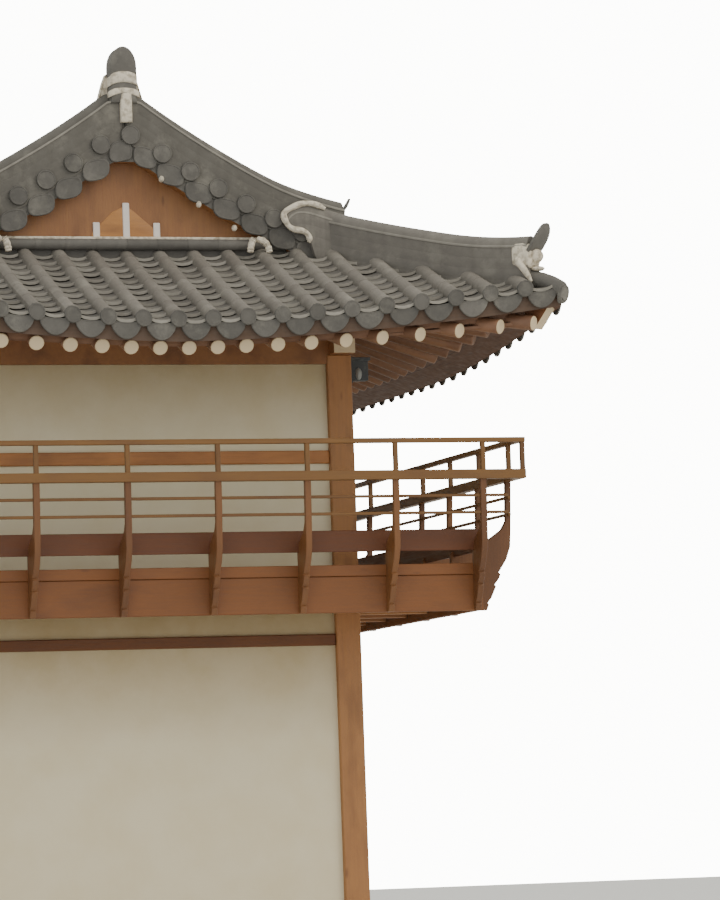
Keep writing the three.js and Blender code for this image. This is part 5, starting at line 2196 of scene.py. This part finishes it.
        # rafters, tie boards and infill take the darker eave timber, a painted shade under the eaves
        across, along = self.eave[Axis.X], self.eave[Axis.Y]
        front, right, node_name = Facing.FRONT, Facing.RIGHT, "eave_rafters"
        for stem, ends, patch, finishes, nodes in (
            ("round_rafters", FRONT_BACK, rafters.rods(front), [along, self.paint], node_name),
            ("round_rafters", RIGHT_LEFT, rafters.rods(right), [across, across], node_name),
            ("eave_tie_board", FRONT_BACK, rafters.eave_board(front), [across], node_name),
            ("eave_tie_board", RIGHT_LEFT, rafters.eave_board(right), [along], node_name),
            ("hip_rafters", FRONT_BACK, rafters.hip().doubled(), [self.board[Axis.Y], self.paint], node_name),
            ("rafter_infill", FRONT_BACK, rafters.infill(front), [along], ""),
            ("rafter_infill", RIGHT_LEFT, rafters.infill(right), [across], ""),
        ):
            self.pair(stem, ends, patch, finishes, "frame_timber", nodes)

    def planed(
        self, name: str, low: Array, high: Array, axis: Axis, slot: str = "frame_timber",
        nodes: tuple[str, ...] = (),
    ) -> None:
        """Planed timbers between pairs of corners.

        Args:
            name: name of the piece; fascia boards and beams have finishes of their own.
            low: array (timbers, 3) of lowest corners.
            high: array (timbers, 3) of highest corners.
            axis: direction of the grain.
            slot: frame_timber for the frame's oiled pine; any other name gives the rail timber.
            nodes: CAD nodes that the piece replaces.
        """
        # the mid beams take the brighter beam timber, a painted light
        kinds = {"fascia": self.board, "lower_beam": self.board, "mid_beam": self.beam}
        usual = self.timber if slot == "frame_timber" else self.rail
        finish = next((kinds[stem] for stem in kinds if name.startswith(stem)), usual)
        put(name, blocks(low, high, bevel=0.007), [finish[axis]], nodes)

    def timbers(self) -> None:
        """Posts and beams with planed edges, the fascia boards and the painted ends of the plates."""
        for name in sorted(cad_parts):
            low, high = (np.array(corner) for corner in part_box(name))
            if "_post_" in name or "_beam_" in name:
                level = Axis.X if name.endswith(("beam_front", "beam_back")) else Axis.Y
                axis = Axis.Z if "_post_" in name else level
                self.planed(f"{name}_planed", low, high, axis, nodes=(name,))
        (x0, y0, z0), (x1, y1, z1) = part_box("balcony_fascia")
        thick, fascia = 0.05, ("balcony_fascia",)
        low, high = [(x0, y0, z0), (x0, y1 - thick, z0)], [(x1, y0 + thick, z1), (x1, y1, z1)]
        self.planed("fascia_boards_ends", low, high, Axis.X, nodes=fascia)
        low = [(x0, y0 + thick, z0), (x1 - thick, y0 + thick, z0)]
        high = [(x0 + thick, y1 - thick, z1), (x1, y1 - thick, z1)]
        self.planed("fascia_boards_sides", low, high, Axis.Y, nodes=fascia)
        (tip_x, tip_y, tip_z), half = (1.9, 3.7795, 5.434), np.array([0.098, 0.005, 0.094])
        tips = np.array([(sx * tip_x, sy * tip_y, tip_z) for sx in (-1, 1) for sy in (-1, 1)])
        put("plate_end_paint", blocks(tips - half, tips + half, bevel=0.002), [self.paint])

    def deck(self) -> None:
        """Deck boards and joists of the balcony."""
        deck = Deck()
        self.planed("deck_boards_ends", *deck.boards(Axis.X), Axis.X, "rail_timber")
        self.planed("deck_boards_sides", *deck.boards(Axis.Y), Axis.Y, "rail_timber")
        self.planed("joists_sides", *deck.joists(Axis.X), Axis.X)
        self.planed("joists_ends", *deck.joists(Axis.Y), Axis.Y)

    def balcony(self) -> None:
        """Railings on the four sides."""
        half_x, half_y = 2.8775, 4.4775
        ends, sides = Railing(half_x, half_y, True), Railing(half_y, half_x, False)
        # the skirt boards take the darker skirt timber, a painted shade
        along = [[self.rail[axis], self.board[axis], self.skirt[axis]] for axis in LEVEL]
        bracket, upright = [[self.bracket]] * 2, [[self.rail[Axis.Z]]] * 2
        for stem, end_part, side_part, finishes in (
            ("rail_bars", ends.bars(), sides.bars(), along),
            ("bracket_posts", ends.brackets(), sides.brackets(), bracket),
            ("short_posts", ends.short_posts(), sides.short_posts(), upright),
        ):
            self.pair(stem, FRONT_BACK, end_part, finishes[0], "rail_timber", "balcony_rail")
            self.pair(stem, RIGHT_LEFT, side_part.quarter(), finishes[1], "rail_timber", "balcony_rail")

    def doorways(self) -> None:
        """Casings round the two doorways and the boards of their sills."""
        doorways = Doorways()
        self.planed("door_casings_upright", *doorways.upright(), Axis.Z)
        self.planed("door_casings_level", *doorways.level(), Axis.Y)

    def lamp(self) -> None:
        """The outdoor lamp: a coated housing with a hood, and an opal lens on its face."""
        lamp = Lamp()
        low, high = (np.array(corner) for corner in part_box("side_lamp"))
        coat = PowderCoat("powder_coated_steel").build()
        opal = PowderCoat("opal_lens", coat="#8f928f", dust="#77766f", roughness=0.25).build()
        put("lamp_housing", lamp.housing(low, high), [coat], ("side_lamp",))
        put("lamp_lens", lamp.lens(low), [opal], ("side_lamp",))


@dataclass(frozen=True)
class Studio:
    """The pale floor, the light and the camera."""

    floor_half: float = 90.0
    sky: str = "#f6f6f0"
    sky_light: float = 1.15
    sky_seen: float = 14.0
    yaw: float = math.radians(17.734)
    pitch: float = math.radians(4.915)
    roll: float = math.radians(-2.044)
    eye: tuple[float, float, float] = (-10.936, -44.264, 0.812)
    sensor: float = 36.0
    lens: float = 191.51
    far: float = 500.0

    def floor(self) -> None:
        """A wide pale floor with a fine grain."""
        floor = CastConcrete("pale_studio_floor", pale="#efeeea", dark="#e6e4df").build()
        ways = np.array([-self.floor_half, self.floor_half])
        mesh = build_mesh("studio_floor", sheet(xyz(ways[:, None], ways, 0.0)), [floor])
        piece = bpy.data.objects.new("studio_floor", mesh)
        bpy.context.scene.collection.objects.link(piece)

    def area(self, name: str, place: tuple, aim: tuple, size: float, power: float, colour: str) -> None:
        """A square soft light.

        Args:
            name: name of the light.
            place: where it stands.
            aim: the point that it looks at.
            size: length of its side.
            power: its power in watts.
            colour: its colour.
        """
        light = bpy.data.lights.new(name, "AREA")
        light.size = size
        light.energy = power
        light.color = paint(colour)[:3]
        lamp = bpy.data.objects.new(name, light)
        bpy.context.scene.collection.objects.link(lamp)
        lamp.location = place
        lamp.rotation_euler = (Vector(aim) - Vector(place)).to_track_quat("-Z", "Y").to_euler()

    def lights(self) -> None:
        """An overcast sky all round, a broad key from the upper right and a weak fill from the street."""
        world = bpy.data.worlds.new("overcast")
        world.use_nodes = True
        tree = world.node_tree
        tree.nodes.clear()
        lit, seen = (
            node(tree, "Background", {"Color": paint(self.sky), "Strength": strength}).outputs[0]
            for strength in (self.sky_light, self.sky_seen)
        )
        to_eye = node(tree, "LightPath").outputs["Is Camera Ray"]
        sky = node(tree, "MixShader", {0: to_eye, 1: lit, 2: seen})
        node(tree, "OutputWorld", {"Surface": sky.outputs[0]})
        bpy.context.scene.world = world
        self.area(
            "key", place=(14.0, -16.0, 22.0), aim=(0.0, 0.0, 5.0), size=12.0, power=2400.0, colour="#fff4e4"
        )
        self.area(
            "fill", place=(-18.0, -22.0, 5.0), aim=(0.0, 0.0, 4.5), size=14.0, power=700.0, colour="#eef3ff"
        )

    def camera(self) -> None:
        """The photograph's place and angle: it stands low in the street, far off, and looks up a little."""
        yaw, pitch, roll = self.yaw, self.pitch, self.roll
        ahead = Vector((math.sin(yaw) * math.cos(pitch), math.cos(yaw) * math.cos(pitch), math.sin(pitch)))
        level = Vector((math.cos(yaw), -math.sin(yaw), 0.0))
        upright = level.cross(ahead)
        right = math.cos(roll) * level + math.sin(roll) * upright
        up = -math.sin(roll) * level + math.cos(roll) * upright
        data = bpy.data.cameras.new("street_view")
        data.sensor_width = self.sensor
        data.lens = self.lens
        data.clip_end = self.far
        camera = bpy.data.objects.new("street_view", data)
        bpy.context.scene.collection.objects.link(camera)
        turn = Matrix((right, up, -ahead)).transposed()
        camera.matrix_world = Matrix.Translation(self.eye) @ turn.to_4x4()
        bpy.context.scene.camera = camera


def main() -> None:
    """Builds the house, the stage, the light and the camera."""
    logging.basicConfig(level=logging.INFO, format="%(name)s %(message)s")
    studio, house = Studio(), House()
    for step in (
        studio.camera, studio.lights, studio.floor, house.clad, house.tiles, house.main_ridge, house.gables,
        house.hips, house.rafters, house.timbers, house.deck, house.balcony, house.doorways, house.lamp,
    ):
        step()


if __name__ == "__main__":
    main()
